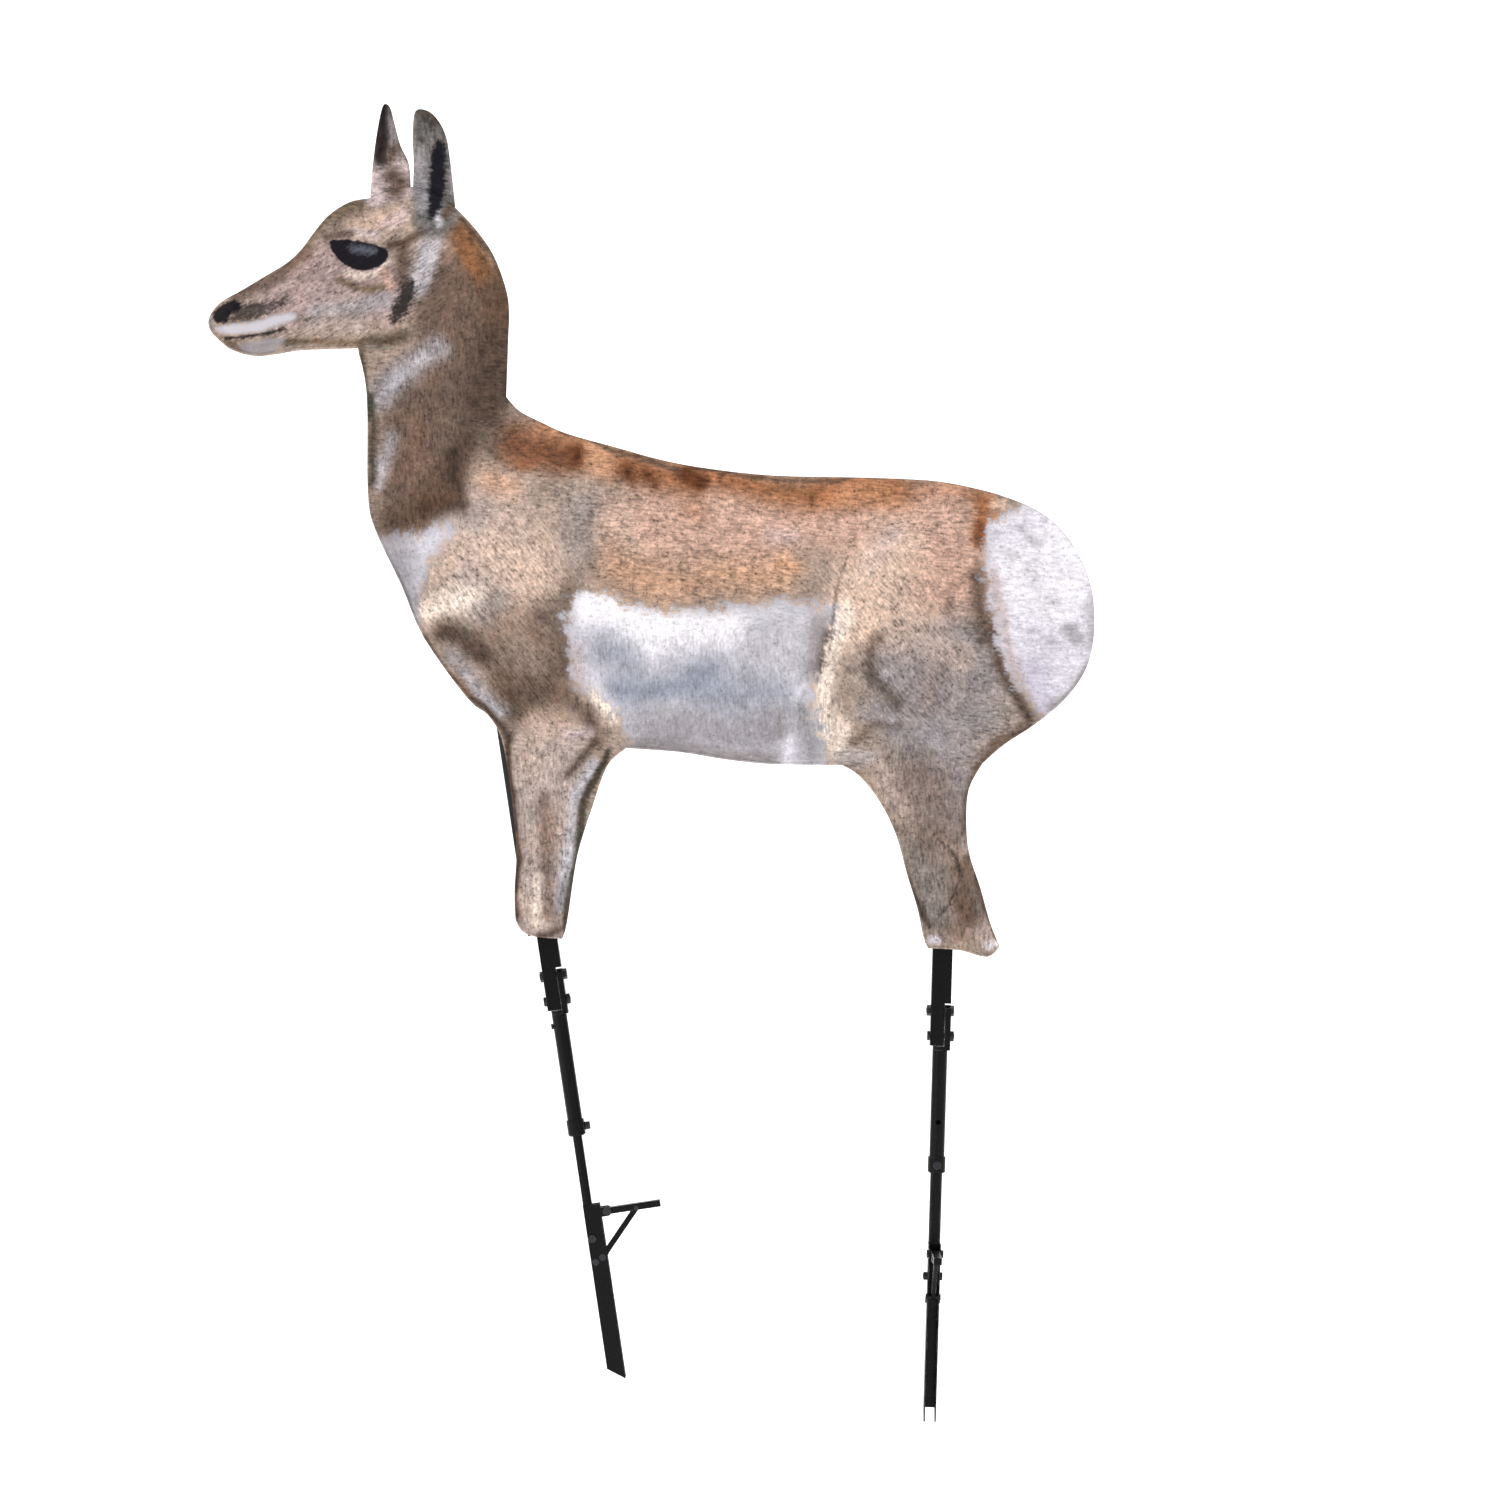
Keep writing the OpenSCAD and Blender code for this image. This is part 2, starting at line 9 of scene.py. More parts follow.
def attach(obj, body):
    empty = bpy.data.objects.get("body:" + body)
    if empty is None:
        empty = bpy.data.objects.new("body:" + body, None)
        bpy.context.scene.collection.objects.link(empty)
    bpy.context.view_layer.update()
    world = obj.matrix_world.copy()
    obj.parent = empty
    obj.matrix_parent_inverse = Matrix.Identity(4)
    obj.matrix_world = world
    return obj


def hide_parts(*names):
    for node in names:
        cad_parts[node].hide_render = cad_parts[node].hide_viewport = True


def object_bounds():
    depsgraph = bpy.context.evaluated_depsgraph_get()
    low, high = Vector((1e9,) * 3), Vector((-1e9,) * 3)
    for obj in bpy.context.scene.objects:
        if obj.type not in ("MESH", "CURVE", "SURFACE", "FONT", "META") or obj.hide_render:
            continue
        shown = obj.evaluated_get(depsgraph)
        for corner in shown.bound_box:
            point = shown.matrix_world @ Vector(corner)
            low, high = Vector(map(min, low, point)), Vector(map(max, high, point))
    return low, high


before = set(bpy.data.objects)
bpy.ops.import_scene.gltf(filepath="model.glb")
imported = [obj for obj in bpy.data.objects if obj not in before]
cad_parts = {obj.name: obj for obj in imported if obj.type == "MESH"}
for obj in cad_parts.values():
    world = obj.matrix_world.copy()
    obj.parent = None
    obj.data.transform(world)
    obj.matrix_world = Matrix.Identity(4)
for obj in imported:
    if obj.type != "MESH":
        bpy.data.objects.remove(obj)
cad_low, cad_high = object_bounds()
MM = 0.001

# ---- The view and the light ----
# A long lens, level with the belly and square to the panel, so that the animal is seen from its
# side. The animal stands over a white floor that curves up into a white wall, lit from its head.
PANEL_Y = -0.012  # the middle of the panel
camera = bpy.data.objects.new("camera", bpy.data.cameras.new("camera"))
camera.data.lens = 85
camera.data.sensor_width = 36
camera.location = (0.1701, -3.731, 0.4851)
camera.rotation_euler = (math.radians(90), 0, 0)
bpy.context.scene.collection.objects.link(camera)
bpy.context.scene.camera = camera
bpy.context.scene.view_settings.view_transform = "Standard"


class Dye:
    """One value or colour of a material, which can be added to and mixed as a dyer would."""

    def __init__(self, tree, socket=None):
        self.tree = tree
        self.socket = socket

    def node(self, kind, settings=(), sockets=(), out=0):
        """A node of that kind: its settings are set first, then its sockets are set or linked."""
        made = self.tree.nodes.new(kind)
        for name, value in dict(settings).items():
            setattr(made, name, value)
        for name, value in dict(sockets).items():
            if isinstance(value, Dye):
                self.tree.links.new(value.socket, made.inputs[name])
            else:
                made.inputs[name].default_value = value
        return Dye(self.tree, made.outputs[out])

    def sum_of(self, operation, *values):
        return self.node("ShaderNodeMath", {"operation": operation}, enumerate(values))

    def place(self):
        """Where on its object each point lies."""
        return self.node("ShaderNodeTexCoord", out=3)

    def colour(self, red, green, blue):
        """A plain colour, as a printer names it, from 0 to 255."""
        plain = self.node("ShaderNodeRGB")
        plain.socket.default_value = (*linear((red, green, blue)), 1)
        return plain

    def grain(self, place, scale, detail, rough=0.5):
        """Noise with that many grains to the metre."""
        return self.node("ShaderNodeTexNoise", sockets={
            "Vector": place, "Scale": scale, "Detail": detail, "Roughness": rough})

    def drawn(self, place, stretch, slope=0.0):
        """The place stretched along its axes, so that noise is drawn out into lines."""
        return self.node("ShaderNodeMapping", {"vector_type": "TEXTURE"}, {
            "Vector": place, "Rotation": (0, -math.radians(slope), 0), "Scale": stretch})

    def relief(self, strength, deep, height, **more):
        """A bumped surface, that deep in metres."""
        return self.node("ShaderNodeBump", sockets={
            "Strength": strength, "Distance": deep, "Height": height, **more})

    def __add__(self, other):
        return self.sum_of("ADD", self, other)

    __radd__ = __add__

    def __sub__(self, other):
        return self.sum_of("SUBTRACT", self, other)

    def __rsub__(self, other):
        return self.sum_of("SUBTRACT", other, self)

    def __mul__(self, other):
        return self.sum_of("MULTIPLY", self, other)

    __rmul__ = __mul__

    def between(self, low, high):
        """0 below low, 1 above high and smooth in between. It falls instead if low is the higher."""
        settings = {"interpolation_type": "SMOOTHSTEP", "clamp": True}
        return self.node("ShaderNodeMapRange", settings, {0: self, 1: low, 2: high})

    def over(self, ground, share):
        """This colour laid on the ground in that share."""
        settings = {"data_type": "RGBA", "clamp_factor": True}
        return self.node("ShaderNodeMix", settings, {0: share, 6: ground, 7: self}, out=2)

    def shaded(self, share):
        """This colour, made darker or lighter by that share."""
        settings = {"operation": "SCALE"}
        return self.node("ShaderNodeVectorMath", settings, {0: self, "Scale": share})


def linear(colour):
    """Dye colours from 0 to 255 as the linear colours that light adds up in."""
    share = np.array(colour) / 255
    return np.where(share <= 0.04045, share / 12.92, ((share + 0.055) / 1.055) ** 2.4)


def new_finish(name, **constants):
    """A material with its constant sockets set. Returns it, its shader and a Dye to start from."""
    material = bpy.data.materials.new(name)
    material.use_nodes = True
    shader = material.node_tree.nodes["Principled BSDF"]
    for socket, value in constants.items():
        shader.inputs[socket.replace("_", " ")].default_value = value
    return material, shader, Dye(material.node_tree)


def feed(shader, **fed):
    """Links each value to the shader's socket of that name."""
    for socket, dye in fed.items():
        dye.tree.links.new(dye.socket, shader.inputs[socket.replace("_", " ")])


# A floor of seamless white paper that curves up into the wall behind, and soft lamps
paper, paper_shader, dye = new_finish(
    "white_paper", Roughness=0.9, Emission_Color=(1, 1, 1, 1), Emission_Strength=0.62)
grain = dye.node("ShaderNodeTexNoise", sockets={"Scale": 3.0, "Detail": 2.0})
paper_white = dye.node("ShaderNodeRGB")
paper_white.socket.default_value = (0.93, 0.93, 0.93, 1)
feed(paper_shader, Base_Color=paper_white.shaded(0.985 + 0.03 * grain))
floor_z = cad_low.z
sweep = [(-9, 0), (2.4, 0)]
sweep += [(2.4 + 1.6 * math.sin(a), 1.6 - 1.6 * math.cos(a)) for a in np.linspace(0.1, 1.57, 14)]
sweep += [(4.0, 7)]
studio = bmesh.new()
rails = [[studio.verts.new((x, y, floor_z + z)) for y, z in sweep] for x in (-9, 9)]
for i in range(len(sweep) - 1):
    studio.faces.new((rails[0][i], rails[1][i], rails[1][i + 1], rails[0][i + 1])).smooth = True
floor_mesh = bpy.data.meshes.new("studio_floor")
studio.to_mesh(floor_mesh)
floor = bpy.data.objects.new("studio_floor", floor_mesh)
floor.data.materials.append(paper)
bpy.context.scene.collection.objects.link(floor)

world = bpy.data.worlds.new("studio_air")
world.use_nodes = True
world.node_tree.nodes["Background"].inputs["Color"].default_value = (1, 1, 1, 1)
world.node_tree.nodes["Background"].inputs["Strength"].default_value = 0.5
bpy.context.scene.world = world


def lamp(name, place, aim, wide, tall, watts):
    """A rectangular soft lamp at a place, aimed at a point."""
    light = bpy.data.lights.new(name, "AREA")
    light.shape = "RECTANGLE"
    light.size = wide
    light.size_y = tall
    light.energy = watts
    holder = bpy.data.objects.new(name, light)
    holder.location = place
    holder.rotation_euler = (Vector(aim) - Vector(place)).to_track_quat("-Z", "Y").to_euler()
    bpy.context.scene.collection.objects.link(holder)


lamp("key_lamp", (-2.3, -2.6, 2.2), (0.05, 0, 0.55), 1.6, 1.6, 38)
lamp("fill_lamp", (2.6, -2.8, 1.2), (0.1, 0, 0.4), 1.8, 1.8, 8)
lamp("back_lamp", (0.8, 2.2, 2.4), (0.1, 0, 0.5), 1.4, 1.4, 16)
lamp("edge_lamp", (-2.2, -1.9, 0.6), (0.1, 0, 0.2), 0.3, 1.7, 8)

# ---- The printed cloth ----
# Two layers of polyester cloth, dye-printed with a young doe's coat and cut to its outline. They
# are sewn together round a channel for the spring band, which pulls them flat.
CLOTH_T = 0.8  # thickness of one layer, in mm
EDGE_ROWS = (0.6, 1.4, 2.4, 3.6, 5.2, 7.2, 9.2, 11, 13, 15.5)
CHANNEL = ((0, 3.1), (0.6, 3.6), (1.4, 3.95), (2.4, 4.0), (3.6, 3.95), (5.2, 3.75), (7.2, 3.4),
    (9.2, 2.9), (11, 2.35), (13, 2.6), (15.5, 2.85), (22, 3.0))  # depth from the edge, half thickness
STITCH_IN = 11  # the channel's stitch line, in from the edge
EDGE_STEP = 4.0  # spacing of the cloth's points along its edge
BODY_STEP = 4.2  # and inside it, on the body
HEAD_STEP = 2.5  # and on the head, where the print is finest
HEAD_FROM = (-172, 890)  # the head lies left of this and above this


def outer_edge(node):
    """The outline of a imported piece, seen from its side: its points in order, as x and z in mm."""
    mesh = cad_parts[node].data
    front = min(v.co.y for v in mesh.vertices) + 1e-5
    key = [tuple(round(c, 6) for c in v.co) for v in mesh.vertices]
    sides = {}
    for face in mesh.polygons:
        if all(mesh.vertices[i].co.y < front for i in face.vertices):
            ring = [key[i] for i in face.vertices]
            for a, b in zip(ring, ring[1:] + ring[:1]):
                sides.setdefault(frozenset((a, b)), []).append((a, b))
    after = {}
    for found in sides.values():
        if len(found) == 1:
            after[found[0][0]] = found[0][1]
    loops = []
    while after:
        start, here = next(iter(after.items()))
        loop = [start]
        while here in after and here != start:
            loop.append(here)
            here = after.pop(here)
        after.pop(start, None)
        loops.append(np.array([(p[0], p[2]) for p in loop]) / MM)
    longest = max(loops, key=lambda loop: np.ptp(loop[:, 0]) * np.ptp(loop[:, 1]))
    return longest if area_of(longest) > 0 else longest[::-1]


def area_of(loop):
    """The area inside a closed line of points, above 0 if it runs anticlockwise."""
    x, z = loop[:, 0], loop[:, 1]
    return 0.5 * float(np.sum(x * np.roll(z, -1) - np.roll(x, -1) * z))


def divided(loop, step):
    """The same closed line with points no further apart than step."""
    points = []
    for a, b in zip(loop, np.roll(loop, -1, 0)):
        parts = max(1, math.ceil(np.hypot(*(b - a)) / step))
        points += [a + (b - a) * i / parts for i in range(parts)]
    return np.array(points)


def merged(loop, step):
    """The same closed line without the points that crowd the one before them."""
    points = [loop[0]]
    for p in loop[1:]:
        if np.hypot(*(p - points[-1])) >= step:
            points.append(p)
    return np.array(points)


def inward(loop):
    """A unit vector at each point of an anticlockwise line, towards its inside."""
    ahead = np.roll(loop, -1, 0) - loop
    ahead /= np.maximum(np.hypot(*ahead.T), 1e-9)[:, None]
    along = ahead + np.roll(ahead, 1, 0)
    along /= np.maximum(np.hypot(*along.T), 1e-9)[:, None]
    return np.stack([-along[:, 1], along[:, 0]], 1)


def from_line(at, line, closed):
    """The distance of each place from a line of points, and how far along the line it is nearest."""
    ends = np.roll(line, -1, 0) if closed else line[1:]
    starts = line if closed else line[:-1]
    run = ends - starts
    long = np.maximum(np.hypot(*run.T), 1e-9)
    before = np.concatenate([[0], np.cumsum(long)[:-1]])
    best, along = np.full(len(at), 1e9), np.zeros(len(at))
    for i in range(0, len(at), 1500):
        here = at[i:i + 1500, None] - starts[None]
        share = np.clip((here * run).sum(2) / long**2, 0, 1)
        gap = np.hypot(*np.moveaxis(here - share[..., None] * run, 2, 0))
        nearest = gap.argmin(1)
        rows = np.arange(len(nearest))
        best[i:i + 1500] = gap[rows, nearest]
        along[i:i + 1500] = before[nearest] + share[rows, nearest] * long[nearest]
    return best, along


def inside(at, loop):
    """True for each place inside a closed line of points."""
    within = np.zeros(len(at), bool)
    for (ax, az), (bx, bz) in zip(loop, np.roll(loop, -1, 0)):
        crosses = (az > at[:, 1]) != (bz > at[:, 1])
        within ^= crosses & (at[:, 0] < (bx - ax) * (at[:, 1] - az) / (bz - az + 1e-12) + ax)
    return within


def curved(a, b, c, d, t):
    """The place at a share t of the way from b to c, on the smooth line through all four."""
    bend = (2 * a - 5 * b + 4 * c - d) * t**2 + (3 * b - a - 3 * c + d) * t**3
    return 0.5 * (2 * b + (c - a) * t + bend)


def rounded(points, steps=5):
    """A smooth closed line through a few points."""
    around = [np.roll(np.array(points, float), shift, 0) for shift in (1, 0, -1, -2)]
    return np.stack([curved(*around, t) for t in np.arange(steps) / steps], 1).reshape(-1, 2)


def eased(share):
    """0 below 0, 1 above 1, smooth in between."""
    share = np.clip(share, 0, 1)
    return share * share * (3 - 2 * share)


# The dyes, each named for what it looks like on the coat
DYES = {
    "umber": (106, 88, 78), "bark": (84, 68, 58), "walnut": (66, 52, 44), "soot": (36, 32, 32),
    "ink": (10, 11, 22), "moss": (54, 52, 44), "olive": (112, 96, 78), "fawn": (160, 142, 130),
    "cocoa": (112, 74, 54), "smoke": (98, 97, 96), "blush": (164, 143, 139),
    "tan": (172, 156, 149), "sand": (214, 186, 168), "rose": (198, 162, 146), "ash": (148, 140, 140),
    "stone": (132, 122, 116), "rust": (160, 104, 70), "ginger": (204, 156, 124),
    "russet": (122, 86, 60), "mahogany": (90, 50, 30), "apricot": (210, 162, 126),
    "peach": (206, 176, 158), "petal": (192, 174, 174), "cream": (240, 222, 208),
    "frost": (186, 182, 188), "haze": (158, 153, 158), "slate": (144, 148, 162),
    "lilac": (200, 192, 210), "pearl": (202, 198, 206), "milk": (224, 219, 228),
    "snow": (246, 242, 247),
}
# Strokes of the brown coat, in the order they are laid on: dye, width, softness of the edge,
# strength, and the points it runs through, as x and z in mm
COAT = [
    # grounds of the neck, body and legs
    ("umber", 73, 22, 1, [(-147, 968), (-142, 902), (-136, 851)]),
    ("umber", 80, 22, 1, [(-172, 858), (-180, 807), (-180, 761)]),
    ("tan", 96, 24, 1, [(-110, 708), (-89, 734), (-110, 670)]),
    ("fawn", 70, 30, 1, [(-30, 761), (-19, 702)]),
    ("bark", 70, 24, 0.8, [(-68, 611), (-54, 566), (-62, 536)]),
    ("fawn", 53, 25, 1, [(-15, 730), (-10, 682)]),
    ("rose", 72, 26, 1, [(50, 722), (139, 716), (224, 716), (320, 716)]),
    ("ginger", 38, 24, 0.7, [(31, 676), (91, 660), (144, 668), (205, 672)]),
    ("fawn", 29, 16, 0.8, [(243, 682), (243, 648)]),
    ("rust", 27, 20, 1, [(-44, 817), (-5, 798), (67, 779), (139, 767), (212, 754), (320, 754)]),
    ("rust", 23, 20, 0.95, [(244, 756), (311, 756), (378, 752), (411, 742)]),
    ("rose", 80, 26, 1, [(364, 719), (378, 659)]),
    ("sand", 64, 22, 1, [(321, 689), (294, 665), (280, 625)]),
    ("ash", 94, 26, 1, [(341, 565), (384, 578), (391, 531)]),
    ("ash", 67, 20, 1, [(331, 518), (364, 478), (378, 417)]),
    ("stone", 44, 14, 1, [(354, 394), (361, 357), (367, 314)]),
    ("stone", 20, 8, 1, [(398, 361), (411, 324)]),
    ("tan", 74, 12, 1, [(-45, 475), (-45, 391), (-47, 301)]),
    # head, from the nose back
    ("blush", 71, 18, 1, [(-315, 962), (-253, 988), (-220, 966)]),
    ("umber", 15, 6, 0.9, [(-368, 962), (-334, 979), (-297, 1008)]),
    ("olive", 16, 7, 0.9, [(-297, 1021), (-275, 1046), (-239, 1059), (-209, 1059)]),
    ("peach", 20, 9, 0.9, [(-243, 1034), (-217, 1041), (-204, 1048)]),
    ("petal", 8, 4, 0.9, [(-249, 1030), (-222, 1026)]),
    ("petal", 15, 6, 0.7, [(-209, 1037), (-195, 1046)]),
    ("haze", 20, 9, 0.7, [(-284, 944), (-253, 948), (-215, 957)]),
    ("tan", 13, 5, 0.7, [(-288, 928), (-239, 928)]),
    ("olive", 6, 3, 0.9, [(-315, 912), (-275, 914), (-239, 913)]),
    ("olive", 7, 4, 0.9, [(-259, 979), (-243, 970), (-226, 968), (-215, 972)]),
    ("walnut", 7, 5, 0.7, [(-274, 1022), (-262, 1028), (-250, 1027)]),
    ("stone", 4, 4, 0.8, [(-297, 937), (-268, 939), (-236, 943)]),
    ("cream", 5, 4, 0.8, [(-254, 988), (-243, 982), (-224, 984), (-210, 998)]),
    ("rose", 11, 5, 0.9, [(-213, 986), (-209, 973)]),
    ("moss", 12, 7, 0.8, [(-231, 914), (-214, 914), (-196, 920)]),
    ("walnut", 8, 5, 0.9, [(-208, 1015), (-195, 1015), (-170, 1031)]),
    ("bark", 13, 8, 0.85, [(-194, 1010), (-195, 979)]),
    ("frost", 25, 9, 0.85, [(-164, 1017), (-169, 995), (-175, 975)]),
    ("frost", 10, 7, 0.7, [(-169, 1010), (-171, 995)]),
    ("umber", 9, 5, 0.7, [(-151, 1006), (-162, 968), (-175, 939)]),
    ("walnut", 9, 5, 0.8, [(-153, 1043), (-147, 1032)]),
    ("ash", 8, 3, 0.8, [(-397, 942), (-394, 926)]),
    # throat
    ("haze", 26, 12, 0.9, [(-158, 906), (-178, 893), (-202, 875), (-217, 856)]),
    ("frost", 10, 8, 0.7, [(-172, 897), (-208, 864)]),
    ("haze", 16, 9, 0.9, [(-207, 812), (-212, 793), (-216, 780)]),
    # mane and nape
    ("russet", 27, 8, 1, [(-133, 1026), (-118, 995), (-102, 973), (-91, 950)]),
    ("rust", 10, 8, 0.45, [(-129, 1008), (-118, 990), (-111, 968)]),
    ("russet", 13, 10, 0.7, [(-98, 944), (-96, 913)]),
    ("walnut", 4, 4, 0.9, [(-133, 1041), (-105, 1010), (-89, 979)]),
    ("moss", 9, 8, 0.95, [(-88, 944), (-93, 902), (-91, 847)]),
    ("moss", 7, 6, 0.95, [(-89, 868), (-85, 849)]),
    ("umber", 32, 18, 0.9, [(-110, 858), (-94, 828), (-89, 804)]),
    ("moss", 5, 4, 0.9, [(-237, 902), (-233, 869), (-231, 833)]),
    ("moss", 5, 4, 0.9, [(-228, 858), (-225, 820), (-228, 766)]),
    ("frost", 8, 5, 0.8, [(-218, 785), (-220, 761)]),
    ("bark", 44, 16, 0.95, [(-96, 960), (-98, 900), (-106, 850)]),
    # dark base of the neck
    ("bark", 32, 14, 0.95, [(-126, 809), (-143, 780), (-159, 748), (-180, 734), (-204, 724)]),
    ("walnut", 13, 9, 0.9, [(-140, 796), (-135, 740)]),
    ("walnut", 16, 10, 0.8, [(-172, 740), (-148, 745)]),
    # withers and shoulder
    ("ginger", 35, 14, 0.9, [(-62, 799), (-25, 804), (10, 791)]),
    ("apricot", 10, 6, 0.8, [(-62, 814), (-38, 817)]),
    ("rust", 16, 9, 0.8, [(-68, 785), (-46, 799), (-19, 791)]),
    ("ginger", 29, 14, 0.6, [(-102, 766), (-84, 756)]),
    ("sand", 54, 22, 0.6, [(-73, 716), (-41, 702)]),
    ("sand", 24, 14, 0.7, [(-135, 702), (-153, 670)]),
    ("cream", 27, 12, 0.9, [(-167, 631), (-148, 641), (-121, 646)]),
    ("ash", 16, 12, 0.8, [(-92, 643), (-110, 624)]),
    ("walnut", 19, 9, 0.8, [(-153, 610), (-135, 606), (-110, 584)]),
    ("bark", 16, 12, 0.7, [(-94, 566), (-76, 528)]),
    ("fawn", 43, 20, 0.7, [(-84, 624), (-62, 584)]),
    ("bark", 13, 10, 0.7, [(-19, 654), (-22, 574)]),
    ("ash", 19, 7, 0.9, [(-140, 584), (-116, 555), (-94, 525)]),
    ("frost", 7, 4, 0.7, [(-132, 571), (-110, 541), (-94, 523)]),
    ("walnut", 5, 4, 0.9, [(-172, 603), (-148, 566), (-110, 529), (-88, 499)]),
    ("cocoa", 36, 18, 1, [(-72, 806), (-30, 792)]),
    ("sand", 50, 20, 0.8, [(-95, 690), (-60, 660)]),
    # elbow and front leg
    ("umber", 16, 8, 0.9, [(-25, 544), (-3, 523), (7, 499)]),
    ("cream", 16, 8, 0.9, [(10, 544), (24, 525)]),
    ("peach", 29, 14, 0.6, [(-57, 509), (-30, 512)]),
    ("petal", 11, 6, 0.9, [(-25, 503), (-3, 505)]),
    ("walnut", 7, 5, 0.9, [(3, 496), (-11, 477), (-22, 456)]),
    ("sand", 24, 12, 0.3, [(-62, 488), (-57, 464)]),
    ("frost", 15, 4, 0.9, [(2, 468), (-10, 433), (-23, 370), (-29, 322)]),
    ("moss", 9, 3, 0.9, [(19, 483), (-2, 433), (-15, 370), (-22, 296)]),
    ("walnut", 7, 3, 0.9, [(-86, 498), (-78, 443), (-74, 380), (-75, 312)]),
    ("umber", 15, 5, 0.6, [(-42, 433), (-47, 359), (-42, 312)]),
    ("cream", 10, 5, 0.8, [(-57, 350), (-55, 302)]),
    ("smoke", 14, 8, 0.5, [(-24, 345), (-34, 298)]),
    ("walnut", 6, 3, 0.7, [(-29, 296), (-56, 288)]),
    # back
    ("bark", 4, 3, 0.85, [(-29, 820), (43, 795), (106, 780), (168, 771), (308, 769)]),
    ("mahogany", 14, 7, 0.85, [(-17, 800), (-15, 786)]),
    ("mahogany", 14, 8, 0.75, [(36, 781), (45, 774)]),
    ("mahogany", 12, 7, 0.7, [(62, 775), (67, 769)]),
    ("mahogany", 17, 6, 0.95, [(107, 775), (120, 764)]),
    ("rust", 14, 14, 0.4, [(106, 740), (115, 735)]),
    ("apricot", 22, 12, 0.5, [(270, 752), (308, 752)]),
    ("russet", 10, 7, 0.7, [(195, 759), (238, 757)]),
    ("petal", 12, 10, 0.6, [(192, 713), (216, 711)]),
    ("apricot", 12, 9, 0.8, [(204, 687), (223, 677)]),
    ("fawn", 27, 14, 0.7, [(231, 697), (248, 687)]),
    ("ash", 27, 16, 0.6, [(-10, 740), (-13, 697)]),
    ("sand", 29, 14, 0.5, [(31, 728), (48, 706)]),
    # thigh and haunch
    ("petal", 20, 10, 0.6, [(317, 705), (294, 679)]),
    ("cream", 18, 8, 0.9, [(267, 632), (257, 592), (252, 545), (247, 505)]),
    ("cream", 17, 7, 0.7, [(264, 511), (257, 484)]),
    ("rust", 23, 9, 0.9, [(418, 739), (409, 712)]),
    ("mahogany", 12, 5, 0.6, [(409, 719), (408, 705)]),
    ("peach", 11, 5, 0.9, [(424, 741), (438, 746)]),
    ("bark", 20, 12, 0.8, [(406, 669), (411, 632), (414, 605)]),
    ("walnut", 9, 6, 0.9, [(420, 612), (431, 572), (451, 538), (461, 521)]),
    ("sand", 30, 14, 0.5, [(371, 592), (391, 582)]),
    ("umber", 26, 14, 0.2, [(371, 565), (354, 531)]),
    ("walnut", 10, 11, 0.75, [(303, 608), (296, 590), (299, 562)]),
    ("walnut", 13, 12, 0.7, [(309, 548), (322, 530)]),
    ("ash", 23, 8, 0.8, [(284, 525), (321, 511)]),
    ("walnut", 6, 8, 0.5, [(274, 493), (294, 508), (324, 508)]),
    ("walnut", 4, 6, 0.5, [(379, 659), (376, 632)]),
    ("milk", 5, 3, 0.7, [(312, 565), (313, 561)]),
    ("milk", 5, 4, 0.6, [(312, 515), (315, 511)]),
    ("milk", 7, 6, 0.5, [(351, 500), (373, 491)]),
    ("petal", 17, 12, 0.5, [(311, 461), (324, 428)]),
    ("haze", 40, 20, 0.5, [(371, 505), (378, 470)]),
    ("umber", 50, 22, 0.5, [(350, 465), (372, 405)]),
    ("frost", 13, 8, 0.5, [(264, 481), (294, 476)]),
    ("bark", 9, 6, 0.8, [(461, 511), (428, 488), (404, 463), (398, 431), (396, 401)]),
    ("walnut", 5, 4, 0.9, [(280, 464), (317, 407), (339, 347), (354, 300)]),
    ("petal", 20, 8, 0.6, [(391, 310), (418, 297)]),
    ("bark", 17, 7, 0.6, [(388, 334), (404, 310)]),
    ("milk", 9, 4, 0.9, [(357, 283), (367, 284)]),
    ("milk", 7, 4, 0.8, [(418, 280), (428, 284)]),
    ("walnut", 3, 3, 0.8, [(398, 377), (411, 337), (428, 290)]),
    ("sand", 62, 26, 0.6, [(300, 664), (332, 618)]),
    ("bark", 26, 10, 0.6, [(392, 360), (402, 318), (390, 302)]),
    # ears
    ("ash", 33, 6, 1, [(-209, 1158), (-209, 1101)]),
    ("soot", 15, 5, 1, [(-216, 1165), (-216, 1129), (-217, 1107)]),
    ("umber", 11, 5, 0.9, [(-202, 1118), (-209, 1101)]),
    ("petal", 40, 6, 1, [(-222, 1074), (-191, 1085)]),
    ("bark", 18, 8, 0.85, [(-207, 1088), (-196, 1080), (-203, 1072)]),
    ("smoke", 44, 8, 1, [(-162, 1158), (-160, 1046)]),
    ("bark", 15, 8, 0.7, [(-173, 1156), (-158, 1147)]),
    ("haze", 13, 7, 0.75, [(-176, 1112), (-174, 1055)]),
    ("frost", 4, 3, 0.8, [(-147, 1118), (-143, 1098), (-142, 1070)]),
    ("bark", 9, 5, 0.9, [(-151, 1046), (-144, 1054)]),
    ("milk", 7, 4, 0.8, [(-159, 1048), (-157, 1037)]),
]
